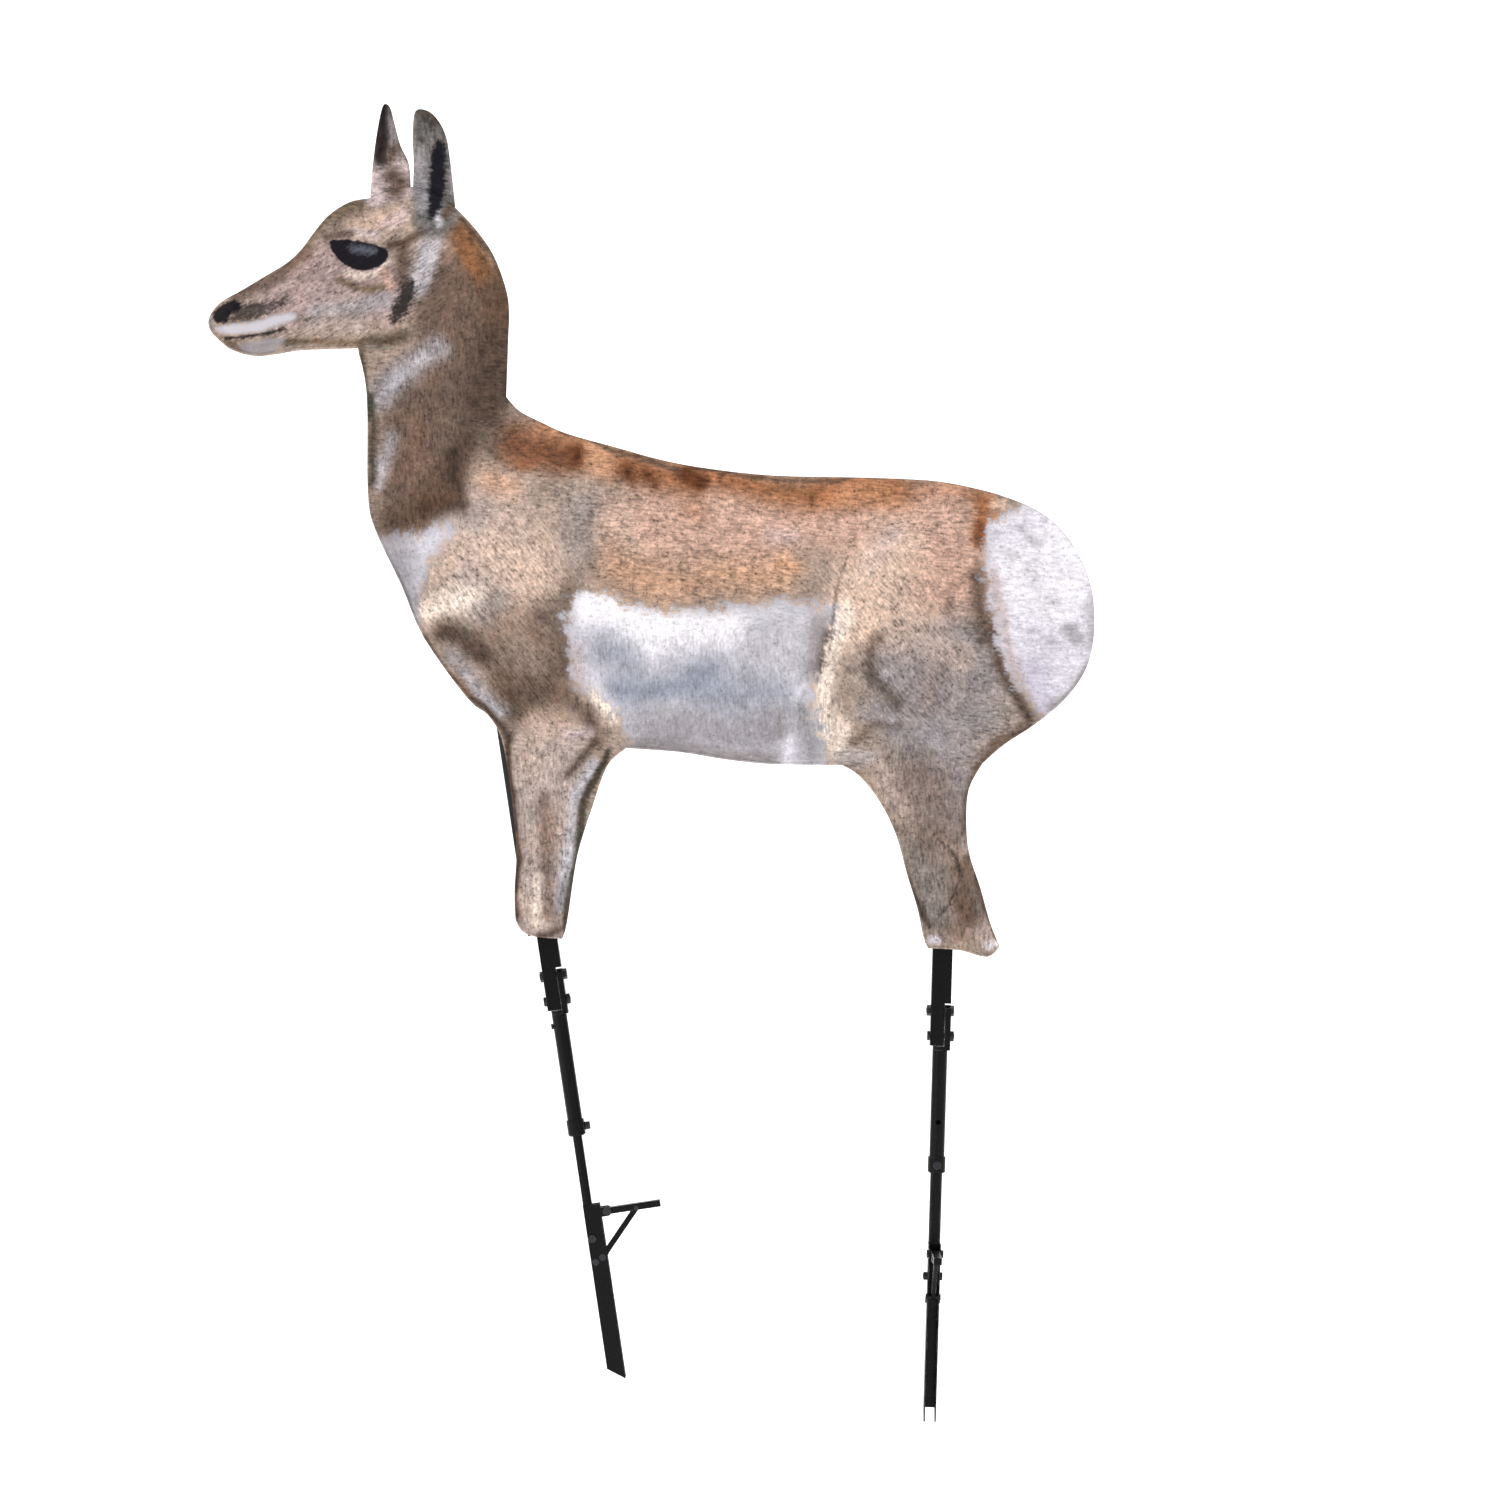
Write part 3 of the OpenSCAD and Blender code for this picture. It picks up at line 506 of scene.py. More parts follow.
# Strokes of the pale coat, which shows on the belly, rump and chest
PALE = [
    # belly side
    ("snow", 40, 16, 1, [(2, 638), (24, 630)]),
    ("snow", 42, 18, 1, [(52, 622), (106, 616), (145, 616)]),
    ("snow", 22, 12, 0.9, [(50, 590), (66, 602)]),
    ("slate", 24, 14, 0.7, [(16, 598), (42, 580)]),
    ("frost", 60, 20, 0.7, [(168, 554), (200, 592)]),
    ("slate", 32, 18, 0.95, [(38, 550), (75, 550), (125, 560)]),
    ("slate", 40, 20, 0.7, [(125, 540), (190, 540)]),
    ("haze", 46, 18, 0.95, [(66, 508), (140, 506), (190, 506)]),
    ("ash", 16, 9, 0.9, [(48, 492), (125, 480), (190, 473)]),
    ("ash", 26, 12, 0.85, [(243, 615), (246, 571)]),
    ("bark", 9, 6, 0.75, [(252, 609), (250, 574)]),
    ("moss", 20, 12, 0.35, [(226, 523), (231, 487)]),
    ("milk", 9, 6, 0.9, [(206, 494), (208, 475)]),
    ("ash", 5, 4, 0.8, [(198, 521), (198, 497)]),
    # edge by the elbow
    ("petal", 12, 9, 0.8, [(-10, 591), (-5, 554)]),
    ("milk", 7, 5, 0.9, [(7, 562), (28, 535)]),
    # chest and throat
    ("haze", 36, 14, 0.85, [(-207, 702), (-191, 670), (-183, 643)]),
    ("pearl", 14, 10, 0.8, [(-172, 686), (-177, 659)]),
    ("moss", 4, 4, 0.7, [(-212, 691), (-193, 651), (-180, 616)]),
    # rump
    ("milk", 110, 16, 1, [(470, 700), (485, 590)]),
    ("snow", 60, 20, 0.6, [(455, 672), (485, 648), (492, 684)]),
    ("milk", 50, 14, 0.8, [(458, 598), (471, 545)]),
    ("lilac", 27, 12, 0.7, [(461, 572), (475, 538)]),
    ("petal", 10, 6, 0.8, [(423, 669), (439, 592), (461, 538)]),
    ("haze", 13, 7, 0.8, [(503, 612), (511, 603)]),
    ("haze", 7, 6, 0.7, [(458, 717), (475, 697)]),
    ("haze", 11, 8, 0.6, [(527, 645), (530, 592)]),
    ("ash", 8, 5, 0.9, [(486, 531), (511, 551), (528, 575)]),
]
# Where the coat is pale: the belly, the rump and the chest
PALE_SHAPES = (
    ((-13, 646), (4, 652), (27, 646), (50, 637), (86, 633), (125, 630), (154, 639), (188, 641),
     (212, 639), (231, 632), (257, 635), (257, 615), (251, 578), (241, 550), (241, 511), (245, 465),
     (188, 460), (125, 470), (43, 487), (34, 521), (14, 545), (-13, 559), (-17, 591), (-19, 624)),
    ((418, 724), (434, 729), (461, 744), (498, 749), (545, 712), (558, 612), (528, 538), (491, 515),
     (478, 520), (458, 545), (436, 578), (424, 612), (418, 662), (414, 695)),
    ((-220, 702), (-180, 710), (-148, 724), (-143, 713), (-161, 689), (-175, 659), (-180, 619),
     (-196, 633)),
)
# Fine marks on top: name, dye, softness, strength, width of the stroke and its points
MARKS = (
    ("jaw_patch", "soot", 5, 0.94, None, (
        (-186, 981), (-180, 972), (-182, 960), (-187, 948), (-194, 938), (-203, 931), (-208, 937),
        (-205, 949), (-200, 961), (-195, 974))),
    ("nose_wedge", "soot", 5, 0.8, None, (
        (-381, 933), (-352, 936), (-334, 944), (-312, 957), (-330, 957), (-363, 953))),
    ("chin", "bark", 4, 0.75, 8.8, ((-376, 912), (-359, 904))),
    ("lip", "haze", 3, 0.75, None, (
        (-365, 911), (-350, 914), (-332, 916), (-319, 917), (-326, 906), (-343, 901), (-361, 903))),
    ("muzzle", "pearl", 3, 0.95, None, (
        (-390, 928), (-379, 931), (-350, 934), (-328, 941), (-308, 943), (-310, 937), (-334, 928),
        (-346, 924), (-381, 922))),
    ("mouth", "ink", 1.4, 0.85, 3.4, ((-380, 917), (-348, 920), (-332, 923), (-319, 928))),
    ("ear_stripe", "ink", 3, 0.95, None, (
        (-158, 1126), (-150, 1120), (-149, 1092), (-151, 1068), (-158, 1048), (-167, 1043),
        (-167, 1066), (-166, 1090), (-164, 1112))),
    ("hock_line", "soot", 2.2, 0.7, 2.4, (
        (366, 392), (378, 384), (386, 373), (390, 361), (389, 348), (385, 335), (378, 322),
        (369, 311), (358, 299))),
    ("thigh_line", "bark", 3, 0.65, 2.4, (
        (272, 688), (266, 671), (261, 652), (258, 632), (256, 612), (254, 591))),
    ("nose", "ink", 2, 0.96, None, (
        (-392, 935), (-391, 946), (-379, 955), (-368, 957), (-364, 948), (-374, 943), (-381, 933))),
    ("eye", "ink", 1.2, 0.98, None, (
        (-270, 1020), (-260, 1021), (-248, 1020), (-229, 1017), (-214, 1012), (-209, 1005),
        (-213, 997), (-222, 991), (-234, 988), (-246, 990), (-257, 996), (-266, 1005), (-270, 1013))),
    ("eye_light", "slate", 4.5, 0.34, 7.0, ((-246, 1011), (-226, 1009))),
)
HAIR_WIDE, HAIR_LONG = 2.6, 9  # a lock of printed hair
PRINT_SEED = 7  # of the slow wander of the strokes
THIN = 5  # a mark narrower than this needs points of its own
# How the hair lies: down, slanting down to the tail, or back from the nose; elsewhere, to the tail
LIES = {"down": (1, 0, 0), "slant": (0, 1, 0), "face": (0, 0, 1), "back": (0, 0, 0)}
LIE = [
    ("down", 90, 20, 1, [(-140, 960), (-165, 850), (-170, 720)]),
    ("slant", 110, 25, 1, [(-150, 640), (-60, 680), (-60, 560)]),
    ("down", 120, 18, 1, [(30, 560), (230, 550)]),
    ("slant", 130, 25, 1, [(300, 640), (340, 560)]),
    ("down", 70, 15, 1, [(-45, 460), (-45, 300)]),
    ("down", 90, 15, 1, [(340, 460), (375, 380), (395, 280)]),
    ("face", 130, 15, 1, [(-380, 930), (-250, 970), (-205, 990)]),
    ("down", 90, 8, 1, [(-205, 1150), (-160, 1150)]),
]


def past_stroke(at, points, width):
    """How far outside a stroke each place is, below 0 inside it."""
    return from_line(at, np.array(points, float), False)[0] - width / 2


def laid(ground, strokes, dyes, at):
    """The colour at each place after all the strokes are laid on the ground."""
    colour = np.tile(np.array(dyes[ground], float), (len(at), 1))
    for name, width, soft, strength, points in strokes:
        cover = strength * eased((soft - past_stroke(at, points, width)) / (2 * soft))
        colour += cover[:, None] * (np.array(dyes[name]) - colour)
    return colour


def past_shape(at, points):
    """How far outside a smooth closed shape each place is, below 0 inside it."""
    loop = rounded(points)
    gap = from_line(at, loop, True)[0]
    return np.where(inside(at, loop), -gap, gap)


noise.seed_set(PRINT_SEED)


def print_coat(mesh):
    """Prints the coat on a mesh: two colours, the pale coat's edge, the marks and the hair's lie."""
    co = np.zeros(len(mesh.vertices) * 3)
    mesh.vertices.foreach_get("co", co)
    at = co.reshape(-1, 3)[:, (0, 2)] / MM
    fine, slow = (
        np.array([noise.noise_vector(Vector((x, z, 0)) * rate).xz for x, z in at])
        for rate in (0.05, 0.017))
    loose = at + 2.5 * fine + 9 * slow * eased((at[:, :1] + 170) / 80)
    for name, ground, strokes, dyes in (("coat", "fawn", COAT, DYES), ("pale", "pearl", PALE, DYES),
            ("lie", "back", LIE, LIES)):
        colour = laid(ground, strokes, dyes, loose)
        if dyes is DYES:
            colour = linear(colour)
        layer = mesh.attributes.new(name, "FLOAT_COLOR", "POINT")
        layer.data.foreach_set("color", np.c_[colour, np.ones(len(at))].ravel())
    edges = {"pale_edge": np.minimum.reduce([past_shape(loose, shape) for shape in PALE_SHAPES])}
    for name, _, _, _, width, points in MARKS:
        edges[name] = past_shape(at, points) if width is None else past_stroke(at, points, width)
    for name, gap in edges.items():
        mesh.attributes.new(name, "FLOAT", "POINT").data.foreach_set("value", gap)


def woven(place, pitch):
    """The relief of a plain weave, with its threads that far apart in metres."""
    x, z = (place.node("ShaderNodeSeparateXYZ", sockets={"Vector": place}, out=i) for i in (0, 2))
    turns = 2 * math.pi / pitch
    return place.sum_of("SINE", x * turns) * place.sum_of("SINE", z * turns)


def printed_cloth():
    """Dye-printed woven polyester: fine speckled hair that follows the coat, and a plain weave."""
    material, shader, dye = new_finish(
        "printed_cloth", Sheen_Weight=0.02, Sheen_Roughness=0.4, Specular_IOR_Level=0.1)
    place = dye.place()

    def grains(size, detail=2.0, slope=None):
        """Noise with grains of that size in mm, drawn out into hairs if they have a slope."""
        at = place if slope is None else dye.drawn(place, (HAIR_LONG / HAIR_WIDE, 1, 1), slope)
        return dye.grain(at, 1 / (size * MM), detail, 0.6)

    def layer(name, out):
        return dye.node("ShaderNodeAttribute", {"attribute_name": name}, out=out)

    lie = layer("lie", 0)
    hair = grains(HAIR_WIDE, slope=-6)
    for channel, slope in ((0, -86), (1, -52), (2, 28)):
        share = dye.node("ShaderNodeSeparateColor", sockets={"Color": lie}, out=channel)
        hair = hair + share * (grains(HAIR_WIDE, slope=slope) - hair)
    speck = grains(3.2, detail=2.5)
    clump = grains(10, detail=4)
    patchy = grains(52, detail=2)
    ragged = (hair - 0.5) * 26 + (speck - 0.5) * 10 + (clump - 0.5) * 40
    pale = (layer("pale_edge", 2) + ragged).between(7, -7)
    warm = dye.colour(176, 118, 78)
    coat = warm.over(layer("coat", 0), patchy.between(0.42, 0.75) * 0.1)
    fur = layer("pale", 0).over(coat, pale)
    # Dark hairs lie among the others, fewer of them in the pale coat
    plenty = 1 - 0.5 * pale
    dark_hair = dye.colour(56, 42, 36)
    fur = dark_hair.over(fur, speck.between(0.43, 0.30) * plenty * 0.62)
    tufts = (hair - 0.5) * 1.9 + (clump - 0.5) * 1.5 + speck.between(0.55, 0.72) * 0.5
    fur = fur.shaded(0.98 + tufts * plenty + (patchy - 0.5) * 0.5)
    for name, colour, soft, strength, _, _ in MARKS:
        tint = dye.colour(*DYES[colour])
        frayed = layer(name, 2) + (hair + speck - 1) * (2.2 * soft - 0.5)
        fur = tint.over(fur, frayed.between(soft, -soft) * strength)
    relief = dye.relief(0.35, 0.0004, woven(place, 0.0011) * 0.5 + hair * 0.8 + speck * 0.5)
    feed(shader, Base_Color=fur, Roughness=0.66 + 0.22 * speck, Normal=relief)
    return material


def piece(name, mesh, material, packed=None):
    """A finished piece on the decoy, with its material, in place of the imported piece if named."""
    mesh.shade_smooth()
    made = bpy.data.objects.new(name, mesh)
    bpy.context.scene.collection.objects.link(made)
    made.data.materials.append(material)
    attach(made, "decoy")
    if packed:
        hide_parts(packed)
    return made


def half_thickness(depth, along):
    """Half of the panel's thickness at a depth in from its edge, with the seam's small puckers."""
    shaped = np.interp(depth, *np.array(CHANNEL).T)
    gathers = sum(
        size * np.sin(2 * math.pi * along / length + phase)
        for size, length, phase in ((0.22, 13, 0.4), (0.16, 8.7, 2.1), (0.14, 29, 4.0)))
    return shaped + gathers * eased((depth - 5) / 6) * eased((46 - depth) / 34)


def slack(at):
    """The cloth's slow, shallow waves between its edges, in mm."""
    waves = ((0.30, 0.021, 0.012, 0.3), (0.24, -0.014, 0.034, 1.9), (0.20, 0.043, 0.027, 4.1),
        (0.16, 0.009, -0.058, 2.7))
    return sum(size * np.sin(a * at[:, 0] + b * at[:, 1] + phase) for size, a, b, phase in waves)


outline = divided(merged(outer_edge("edge_binding"), 1.2), EDGE_STEP)
edge_in = inward(outline)


def edge_rows(loop, depths):
    """Points in rows inside a closed line, each row at its depth from the line."""
    rows = np.concatenate([loop + inward(loop) * d for d in depths])
    wanted = np.repeat(depths, len(loop))
    fits = inside(rows, loop)
    rows, wanted = rows[fits], wanted[fits]
    return rows[from_line(rows, loop, True)[0] > 0.9 * wanted]


def lattice(loop, step, rise):
    """Points in staggered rows over a closed line's whole box."""
    xs = np.arange(loop[:, 0].min(), loop[:, 0].max(), step)
    zs = np.arange(loop[:, 1].min(), loop[:, 1].max(), rise)
    return np.array([(x + step / 2 * (j % 2), z) for j, z in enumerate(zs) for x in xs])


def well_inside(at, loop, clear):
    """The places that are inside a closed line, and that clear of it."""
    at = at[inside(at, loop)]
    return at[from_line(at, loop, True)[0] > clear]


def flat_pattern(loop, *inner):
    """A flat pattern cut to a closed line: its points, the line's own first, and its triangles."""
    points = [Vector(p) for p in np.concatenate([loop, *inner])]
    found = geometry.delaunay_2d_cdt(points, [], [list(range(len(loop)))], 1, 1e-5)
    return np.array([tuple(p) for p in found[0]]), found[2]


def finished_mesh(made, name):
    """A mesh out of what was made, with its faces turned outwards."""
    bmesh.ops.recalc_face_normals(made, faces=made.faces)
    mesh = bpy.data.meshes.new(name)
    made.to_mesh(mesh)
    made.free()
    return mesh


def closed_sheet(at, cut, heights, name):
    """Printed cloth on a flat pattern: a face at each of two heights, and the edge between them."""
    made = bmesh.new()
    outer, inner = (
        [made.verts.new((x * MM, PANEL_Y + h * MM, z * MM)) for (x, z), h in zip(at, height)]
        for height in heights)
    for t in cut:
        made.faces.new([outer[i] for i in t])
        made.faces.new([inner[i] for i in reversed(t)])
    partner = dict(zip(outer, inner))
    for e in [e for e in made.edges if e.is_boundary and e.verts[0] in partner]:
        a, b = e.verts
        made.faces.new((a, b, partner[b], partner[a]))
    mesh = finished_mesh(made, name)
    print_coat(mesh)
    return mesh


within = [edge_rows(outline, EDGE_ROWS)]
for _, _, _, _, width, points in MARKS:
    if width and width < THIN:
        within.append(divided(np.array(points, float), 1.5 * width)[:-1])
for step, on_head in ((BODY_STEP, False), (HEAD_STEP, True)):
    grid = lattice(outline, step, step * math.sqrt(0.75))
    head = (grid[:, 0] < HEAD_FROM[0]) & (grid[:, 1] > HEAD_FROM[1])
    within.append(well_inside(grid[head == on_head], outline, EDGE_ROWS[-1] + step * 0.6))
pattern, triangles = flat_pattern(outline, *within)
depth, along = from_line(pattern, outline, True)
swell = slack(pattern) * eased((depth - 14) / 40)
cloth = printed_cloth()
for name, side, share in (("near", -1, 1), ("far", 1, 0.6)):
    half = half_thickness(depth, along) + swell * share
    heights = (side * half, side * (half - CLOTH_T))
    mesh = closed_sheet(pattern, triangles, heights, name)
    piece(f"{name}_cloth", mesh, cloth, f"{name}_skin")

# ---- The edge binding ----
# A strip of the same printed cloth folded round the panel's edge and sewn through both layers, so
# that the spring band can't cut its way out of the channel.
BINDING = ((2.6, 4.22), (1.3, 4.3), (0.5, 4.1), (0.05, 3.4), (0, 1.7), (0, -1.7), (0.05, -3.4),
    (0.5, -4.1), (1.3, -4.3), (2.6, -4.22), (2.6, -4.02), (1.3, -4.06), (0.9, -3.4), (0.9, 3.4),
    (1.3, 4.06), (2.6, 4.02))  # its fold: depth from the edge, and height


def swept(line, normals, profile):
    """A closed line's points with a closed profile carried round them, as a mesh."""
    made = bmesh.new()
    rings = [
        [made.verts.new(((p[0] + n[0] * d) * MM, PANEL_Y + h * MM, (p[1] + n[1] * d) * MM))
            for d, h in profile]
        for p, n in zip(line, normals)
    ]
    for ring, after in zip(rings, rings[1:] + rings[:1]):
        for i in range(len(profile)):
            j = (i + 1) % len(profile)
            made.faces.new((ring[i], ring[j], after[j], after[i]))
    return finished_mesh(made, "swept")


binding_mesh = swept(outline, edge_in, BINDING)
print_coat(binding_mesh)
edge_tape = piece("edge_tape", binding_mesh, cloth, "edge_binding")

# ---- The channel's stitching ----
# One row of lockstitch through both layers, just inside the spring band. The thread is clear nylon,
# pulled down into the cloth, and shows the print beneath it.
STITCH_PITCH = 4.6
STITCH_LONG = 3.1
THREAD_R = 0.2
STITCH_ARCH = ((-0.5, -0.9, 0.45), (-0.36, 0.5, 1), (0, 0.9, 1.05), (0.36, 0.5, 1), (0.5, -0.9, 0.45))


def add_stitch(made, middle, ahead, up, length, radius):
    """Adds one stitch: a short thread that dives into the cloth at both ends."""
    across = ahead.cross(up)
    rings = []
    for share, rise, thick in STITCH_ARCH:
        centre = middle + ahead * (share * length) + up * (rise * radius)
        rings.append([
            made.verts.new(centre + (across * math.cos(a) + up * math.sin(a)) * radius * thick)
            for a in np.arange(6) * math.pi / 3])
    for ring, after in zip(rings, rings[1:]):
        for i in range(6):
            made.faces.new((ring[i], ring[(i + 1) % 6], after[(i + 1) % 6], after[i]))
    made.faces.new(rings[0][::-1])
    made.faces.new(rings[-1])


stitch_line = merged(outline + edge_in * STITCH_IN, 0.5)
seam = []
for a, b in zip(stitch_line, np.roll(stitch_line, -1, 0)):
    parts = max(1, round(np.hypot(*(b - a)) / STITCH_PITCH))
    seam += [(a + (b - a) * (i + 0.5) / parts, b - a) for i in range(parts)]
seam_at = np.array([p for p, _ in seam])
seam_depth, seam_along = from_line(seam_at, outline, True)
seam_half = half_thickness(seam_depth, seam_along)
for side, name in ((-1, "near_stitches"), (1, "far_stitches")):
    made = bmesh.new()
    up = Vector((0, side, 0))
    for i, (at, run) in enumerate(seam):
        if seam_depth[i] > STITCH_IN - 0.4:
            ahead = Vector((run[0], 0, run[1])).normalized()
            middle = Vector((at[0] * MM, PANEL_Y + side * seam_half[i] * MM, at[1] * MM))
            add_stitch(made, middle, ahead, up, STITCH_LONG * MM, THREAD_R * MM)
    mesh = finished_mesh(made, name)
    print_coat(mesh)
    piece(name, mesh, cloth)

# ---- The ears ----
# Two small envelopes of the printed cloth, sewn inside out and turned, with a bent wire in each.
# Their open ends are caught in the panel's top seam, and their edges are pinched by the seam.
EAR_ROWS = (0.5, 1.2, 2.2, 3.6, 5.6, 8.5)
EAR_HALF = ((0, 0.5), (0.5, 1.1), (1.2, 1.75), (2.2, 2.25), (3.6, 2.5), (5.6, 2.1), (9, 1.9), (14, 2.3))
EAR_STEP = 2.4
HEAD_MIDDLE = (-185.0, 1000.0)
EAR_SEAT = 7.0  # how far the ear's open end goes into the panel


def ear_mesh(node):
    """An ear's envelope: two faces that meet in a pinched seam, dished between seam and middle."""
    loop = divided(merged(outer_edge(node), 0.8), EAR_STEP)
    seat = from_line(loop, outline, True)[0] < 1.0
    toward = np.array([HEAD_MIDDLE]) - loop
    toward /= np.hypot(*toward.T)[:, None]
    loop = loop + toward * (seat * EAR_SEAT)[:, None]
    grid = well_inside(lattice(loop, EAR_STEP, EAR_STEP), loop, EAR_ROWS[-1] + 1)
    at, cut = flat_pattern(loop, edge_rows(loop, EAR_ROWS), grid)
    half = np.interp(from_line(at, loop, True)[0], *np.array(EAR_HALF).T)
    return closed_sheet(at, cut, (-half, half), node)


for side in ("near", "far"):
    node = f"{side}_ear"
    envelope = piece(f"{node}_cloth", ear_mesh(node), cloth, node)

# ---- The spring band and the ears' wires ----
# Flat spring steel, 6 by 0.8 mm, in one loop whose ends meet in a crimped sleeve on the belly.
# It is polished by the rolls along its length, and blued a little by its tempering.


def spring_steel():
    """Rolled and tempered steel strip: bright, with fine lines and a faint straw-blue bloom."""
    material, shader, dye = new_finish("spring_steel", Metallic=1.0)
    place = dye.place()
    rolled = dye.grain(dye.drawn(place, (40, 1, 40)), 2600.0, 3.0)
    bloom = dye.grain(place, 22.0, 2.0)
    blue, bright = dye.colour(124, 132, 150), dye.colour(172, 170, 164)
    relief = dye.relief(0.3, 0.0001, rolled)
    feed(shader, Base_Color=blue.over(bright, bloom.between(0.4, 0.65) * 0.7),
        Roughness=0.24 + 0.2 * rolled, Normal=relief)
    return material


def refinish(node, material):
    """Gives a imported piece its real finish."""
    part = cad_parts[node]
    part.data.materials.clear()
    part.data.materials.append(material)
    part.data.polygons.foreach_set("material_index", np.zeros(len(part.data.polygons), np.int32))


steel_strip = spring_steel()
for node in ("spring_band", "band_joiner", "near_ear_stay", "far_ear_stay"):
    refinish(node, steel_strip)

# ---- The sleeves for the rails ----
# Coated black pack cloth, cut as a strip and sewn flat to the far layer along both long edges, so
# that the rail slides up inside. The mouth at the hem is bound with woven tape.
RAIL = {"left": -11, "right": 10, "deep": 6}  # the rail's three free faces, in the leg's frame
LEG = {
    "front": {"at": Vector((0, 0, 0)), "lean": -8.5, "mouth": 296},
    "rear": {"at": Vector((364, 0, -40)), "lean": 1.7, "mouth": 322},
}
SLEEVE_TOP = 645
SLEEVE_T = 0.8
ACROSS, ALONG = 57, 110  # points over a sleeve and up it
EASE = 0.35  # how loosely it lies over the rail
FLANGE = 8.0  # the sewn strip each side of the tunnel
CLOTH_BACK = -9.3  # where the strip lies on the far layer


def on_leg(leg, x, y, z):
    """A place in a leg's own frame, in mm, as a place on the decoy, in metres."""
    turn = math.radians(LEG[leg]["lean"])
    out = Vector((x * math.cos(turn) + z * math.sin(turn), y, z * math.cos(turn) - x * math.sin(turn)))
    return (LEG[leg]["at"] + out) * MM


def tunnel(share, swell_by):
    """The sleeve's profile, from its left strip over the rail to its right strip, at a share of it."""
    gap = 0.9
    left, right, deep = RAIL["left"] - gap, RAIL["right"] + gap, RAIL["deep"] + gap
    side = ((-FLANGE, CLOTH_BACK), (-1.8, CLOTH_BACK), (-0.3, CLOTH_BACK + 2.2), (0, 0),
        (0.2, deep - 2.4), (2.6, deep))
    corners = [(left + x, y) for x, y in side] + [(0, deep + 0.25)]
    corners += [(right - x, y) for x, y in reversed(side)]
    at = share * (len(corners) - 1)
    i = min(int(at), len(corners) - 2)
    around = (np.array(corners[min(max(k, 0), len(corners) - 1)]) for k in range(i - 1, i + 3))
    x, y = curved(*around, at - i)
    free = eased((y - CLOTH_BACK - 1) / 4)
    return x + swell_by * free * 0.5 * np.sign(x + 0.5), max(y + swell_by * free, CLOTH_BACK)


def pack_cloth():
    """Black coated nylon: a fine oxford weave under a dull coating, scuffed grey in patches."""
    material, shader, dye = new_finish(
        "pack_cloth", Sheen_Weight=0.15, Sheen_Roughness=0.5, Specular_IOR_Level=0.4)
    place = dye.place()
    basket = woven(place, 0.0012)
    scuffs = dye.grain(place, 60.0, 5.0)
    coated, worn = dye.colour(32, 32, 33), dye.colour(62, 61, 60)
    relief = dye.relief(0.5, 0.0003, basket + scuffs)
    feed(shader, Base_Color=worn.over(coated, scuffs.between(0.45, 0.8) * 0.7 + basket * 0.08),
        Roughness=0.5 + 0.3 * scuffs, Normal=relief)
    return material


def strip_mesh(rows, thick, name):
    """A strip of cloth from rows of points, thick on its inner side, closed all round."""
    made = bmesh.new()
    grid = [[made.verts.new(p) for p in row] for row in rows]
    for row, after in zip(grid, grid[1:]):
        for i in range(len(row) - 1):
            made.faces.new((row[i], row[i + 1], after[i + 1], after[i]))
    bmesh.ops.recalc_face_normals(made, faces=made.faces)
    made.normal_update()
    if sum(f.normal.y * f.calc_area() for f in made.faces) < 0:
        bmesh.ops.reverse_faces(made, faces=made.faces)
    made.normal_update()
    bmesh.ops.solidify(made, geom=made.faces[:], thickness=thick * MM)
    return finished_mesh(made, name)


def sleeve(leg):
    """One sleeve, its mouth at the hem, its top folded in and sewn shut."""
    mouth = LEG[leg]["mouth"]
    rows = []
    for z in np.linspace(mouth, SLEEVE_TOP, ALONG):
        shut = 1 - eased((SLEEVE_TOP - z) / 7)
        row = []
        for share in np.linspace(0, 1, ACROSS):
            at = noise.noise(Vector((share * 5, z * 0.03, ord(leg[0])))) * 0.45
            at += noise.noise(Vector((share * 9, z * 0.11, 3.0))) * 0.16
            x, y = tunnel(share, EASE + at)
            row.append(on_leg(leg, x, y + (CLOTH_BACK + 0.3 - y) * 0.97 * shut, z))
        rows.append(row)
    return strip_mesh(rows, SLEEVE_T, f"{leg}_sleeve")


black_pack_cloth = pack_cloth()
for leg in LEG:
    piece(
        f"{leg}_sleeve", sleeve(leg), black_pack_cloth, f"{leg}_pocket")

# ---- The sleeves' tape and stitching ----
# Black woven tape folded over each sleeve's mouth, and two rows of black thread down its sides.
TAPE_HIGH = 14
TAPE_OUT = 0.55
TAPE_T = 0.5
SEWING_R = 0.3


def woven_tape():
    """Black polypropylene tape, woven in fine ribs across its width."""
    material, shader, dye = new_finish("woven_tape", Sheen_Weight=0.2, Specular_IOR_Level=0.4)
    place = dye.place()
    x, y, z = (dye.node("ShaderNodeSeparateXYZ", sockets={"Vector": place}, out=i) for i in range(3))
    ribs = dye.sum_of("SINE", (x + y * 0.8) * (2 * math.pi / 0.0014))
    picks = dye.sum_of("SINE", z * (2 * math.pi / 0.0009))
    fuzz = dye.grain(place, 500.0, 2.0)
    black = dye.colour(38, 38, 40)
    relief = dye.relief(0.8, 0.0004, ribs * 0.6 + ribs * picks * 0.3 + fuzz * 0.4)
    feed(shader, Base_Color=black.shaded(0.75 + 0.2 * ribs + 0.5 * fuzz),
        Roughness=0.6 + 0.25 * fuzz, Normal=relief)
    return material


def black_thread():
    """Twisted black polyester thread."""
    material, shader, dye = new_finish("black_thread", Roughness=0.5)
    place = dye.place()
    twist = dye.grain(place, 1600.0, 1.0)
    black = dye.colour(46, 46, 50)
    relief = dye.relief(0.5, 0.0002, twist)
    feed(shader, Base_Color=black.shaded(0.6 + 0.8 * twist), Normal=relief)
    return material


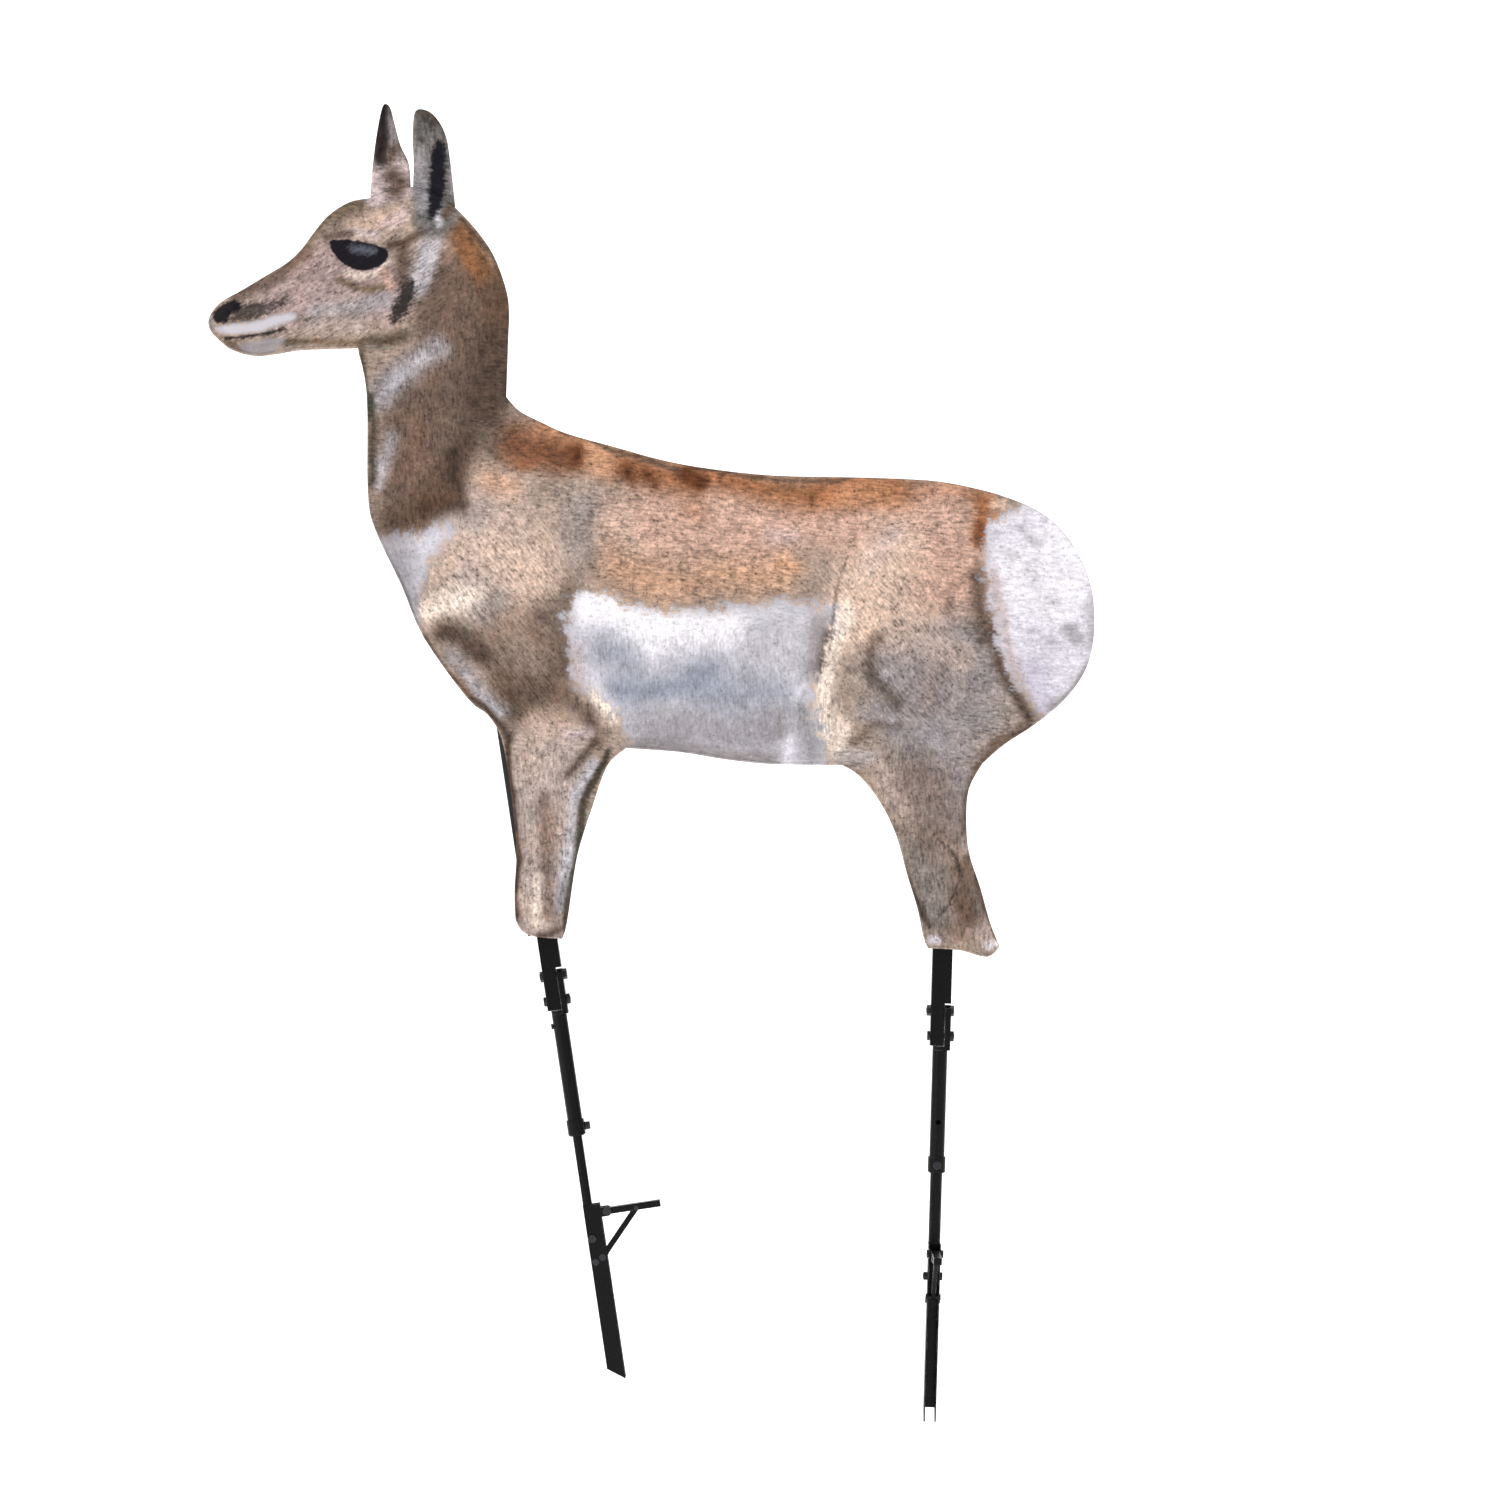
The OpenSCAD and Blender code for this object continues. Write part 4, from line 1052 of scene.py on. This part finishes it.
tape_finish, sewing = woven_tape(), black_thread()
for leg in LEG:
    mouth = LEG[leg]["mouth"]
    rows = []
    for z in np.linspace(mouth - 0.4, mouth + TAPE_HIGH, 9):
        lift = TAPE_OUT * (1 + 0.25 * math.sin((z - mouth) / TAPE_HIGH * math.pi))
        rows.append([
            on_leg(leg, x + np.sign(x + 0.5) * lift * (y > CLOTH_BACK + 1), y + lift, z)
            for x, y in (tunnel(share, EASE) for share in np.linspace(0, 1, ACROSS))])
    mesh = strip_mesh(rows, TAPE_T, f"{leg}_tape")
    tape = piece(f"{leg}_sleeve_tape", mesh, tape_finish, f"{leg}_pocket_tape")
    made = bmesh.new()
    sides = [RAIL["left"] - 3.4, RAIL["left"] - 6.4, RAIL["right"] + 3.4, RAIL["right"] + 6.4]
    long_rows = [
        (x, CLOTH_BACK + 0.1, z, (0, 1), 2.5)
        for x in sides for z in np.arange(mouth + TAPE_HIGH + 2, SLEEVE_TOP - 3, 3.6)]
    tape_rows = [
        (x, RAIL["deep"] + 2.2, z, (1, 0), 2.4)
        for z in (mouth + 2.5, mouth + TAPE_HIGH - 2.5)
        for x in np.arange(RAIL["left"] + 2, RAIL["right"] - 1, 3.4)]
    for x, y, z, (right, up), length in long_rows + tape_rows:
        ahead = (on_leg(leg, x + right, 0, z + up) - on_leg(leg, x, 0, z)).normalized()
        middle = on_leg(leg, x, y, z)
        add_stitch(made, middle, ahead, Vector((0, 1, 0)), length * MM, SEWING_R * MM)
    mesh = finished_mesh(made, f"{leg}_sewing")
    thread_piece = piece(f"{leg}_sleeve_stitches", mesh, sewing)

# ---- The legs' steel ----
# Rectangular tube, round tube, rod and folded sheet steel, all powder-coated satin black. The
# coating is a little pebbled; its edges and streaks are painted pale, as wear and as painted highlight.


def worn_edge(dye, radius):
    """A surface rounded off at its edges, and how far it still lies along its flat face."""
    soft = dye.node("ShaderNodeBevel", {"samples": 6}, {"Radius": radius})
    flat = dye.node("ShaderNodeNewGeometry", out=1)
    settings = {"operation": "DOT_PRODUCT"}
    return soft, dye.node("ShaderNodeVectorMath", settings, {0: soft, 1: flat}, out=1)


def powder_coat():
    """Satin black powder coat on steel, with a fine orange peel, rubs, and edges and streaks painted
    pale as wear and as painted highlight.
    """
    material, shader, dye = new_finish("powder_coat", Specular_IOR_Level=0.14)
    place = dye.place()
    peel = dye.grain(place, 900.0, 2.0)
    rubs = dye.grain(place, 90.0, 6.0)
    scratch_and_highlight_streaks = dye.grain(dye.drawn(place, (1, 1, 30)), 1500.0, 2.0)
    soft_edge, lined_up = worn_edge(dye, 0.0014)
    # Pale edges and streaks along each part: partly wear through the coat, partly a painted highlight
    # where edges and tubes would catch the lamps
    worn = lined_up.between(0.97, 0.80) * rubs.between(0.42, 0.62)
    edge_wear_and_highlight = worn + scratch_and_highlight_streaks.between(0.70, 0.78) * rubs.between(0.5, 0.7) * 0.5
    # The grey of bare steel, laid on those edges and streaks both as wear and as painted highlight
    black, steel = dye.colour(8, 8, 9), dye.colour(120, 118, 114)
    relief = dye.relief(0.35, 0.0002, peel, Normal=soft_edge)
    feed(shader, Base_Color=steel.over(black.shaded(0.8 + 0.4 * rubs), edge_wear_and_highlight * 0.75),
        Metallic=edge_wear_and_highlight * 0.6, Roughness=0.16 + 0.14 * rubs + 0.08 * peel, Normal=relief)
    return material


def black_oxide():
    """Oiled black oxide on turned steel: fine tool lines, and bright metal on the corners."""
    material, shader, dye = new_finish("black_oxide")
    place = dye.place()
    turned = dye.grain(place, 1400.0, 3.0)
    patchy = dye.grain(place, 160.0, 3.0)
    soft_edge, lined_up = worn_edge(dye, 0.0005)
    bare = lined_up.between(0.97, 0.82) * patchy.between(0.35, 0.6)
    oxide, bright = dye.colour(52, 52, 56), dye.colour(150, 148, 144)
    relief = dye.relief(0.3, 0.0001, turned, Normal=soft_edge)
    feed(shader, Base_Color=bright.over(oxide.shaded(0.8 + 0.4 * patchy), bare * 0.8),
        Metallic=0.75 + 0.25 * bare, Roughness=0.28 + 0.22 * turned, Normal=relief)
    return material


def moulded_plastic():
    """Black polyethylene as it comes from the mould: fine grain and a soft shine."""
    material, shader, dye = new_finish("moulded_plastic", Specular_IOR_Level=0.45)
    place = dye.place()
    grain = dye.grain(place, 1100.0, 2.0)
    black = dye.colour(36, 36, 38)
    relief = dye.relief(0.4, 0.0002, grain)
    feed(shader, Base_Color=black.shaded(0.85 + 0.3 * grain),
        Roughness=0.5 + 0.2 * grain, Normal=relief)
    return material


coated_steel, oxide_steel, cap_plastic = powder_coat(), black_oxide(), moulded_plastic()
STEEL = ("rail", "knuckle", "tube", "collar", "rod", "stake", "step_bar", "step_brace")
FASTENERS = ("pivot_bolt", "pivot_nut", "lock_stud", "lock_nut", "swivel_screw", "thumb_screw",
    "tang_bolt", "step_bolt", "brace_rivet", "brace_pin")
for leg in LEG:
    for part in STEEL:
        refinish(f"{leg}_{part}", coated_steel)
    for part in FASTENERS:
        refinish(f"{leg}_{part}", oxide_steel)
    refinish(f"{leg}_rail_cap", cap_plastic)

bpy.context.view_layer.update()
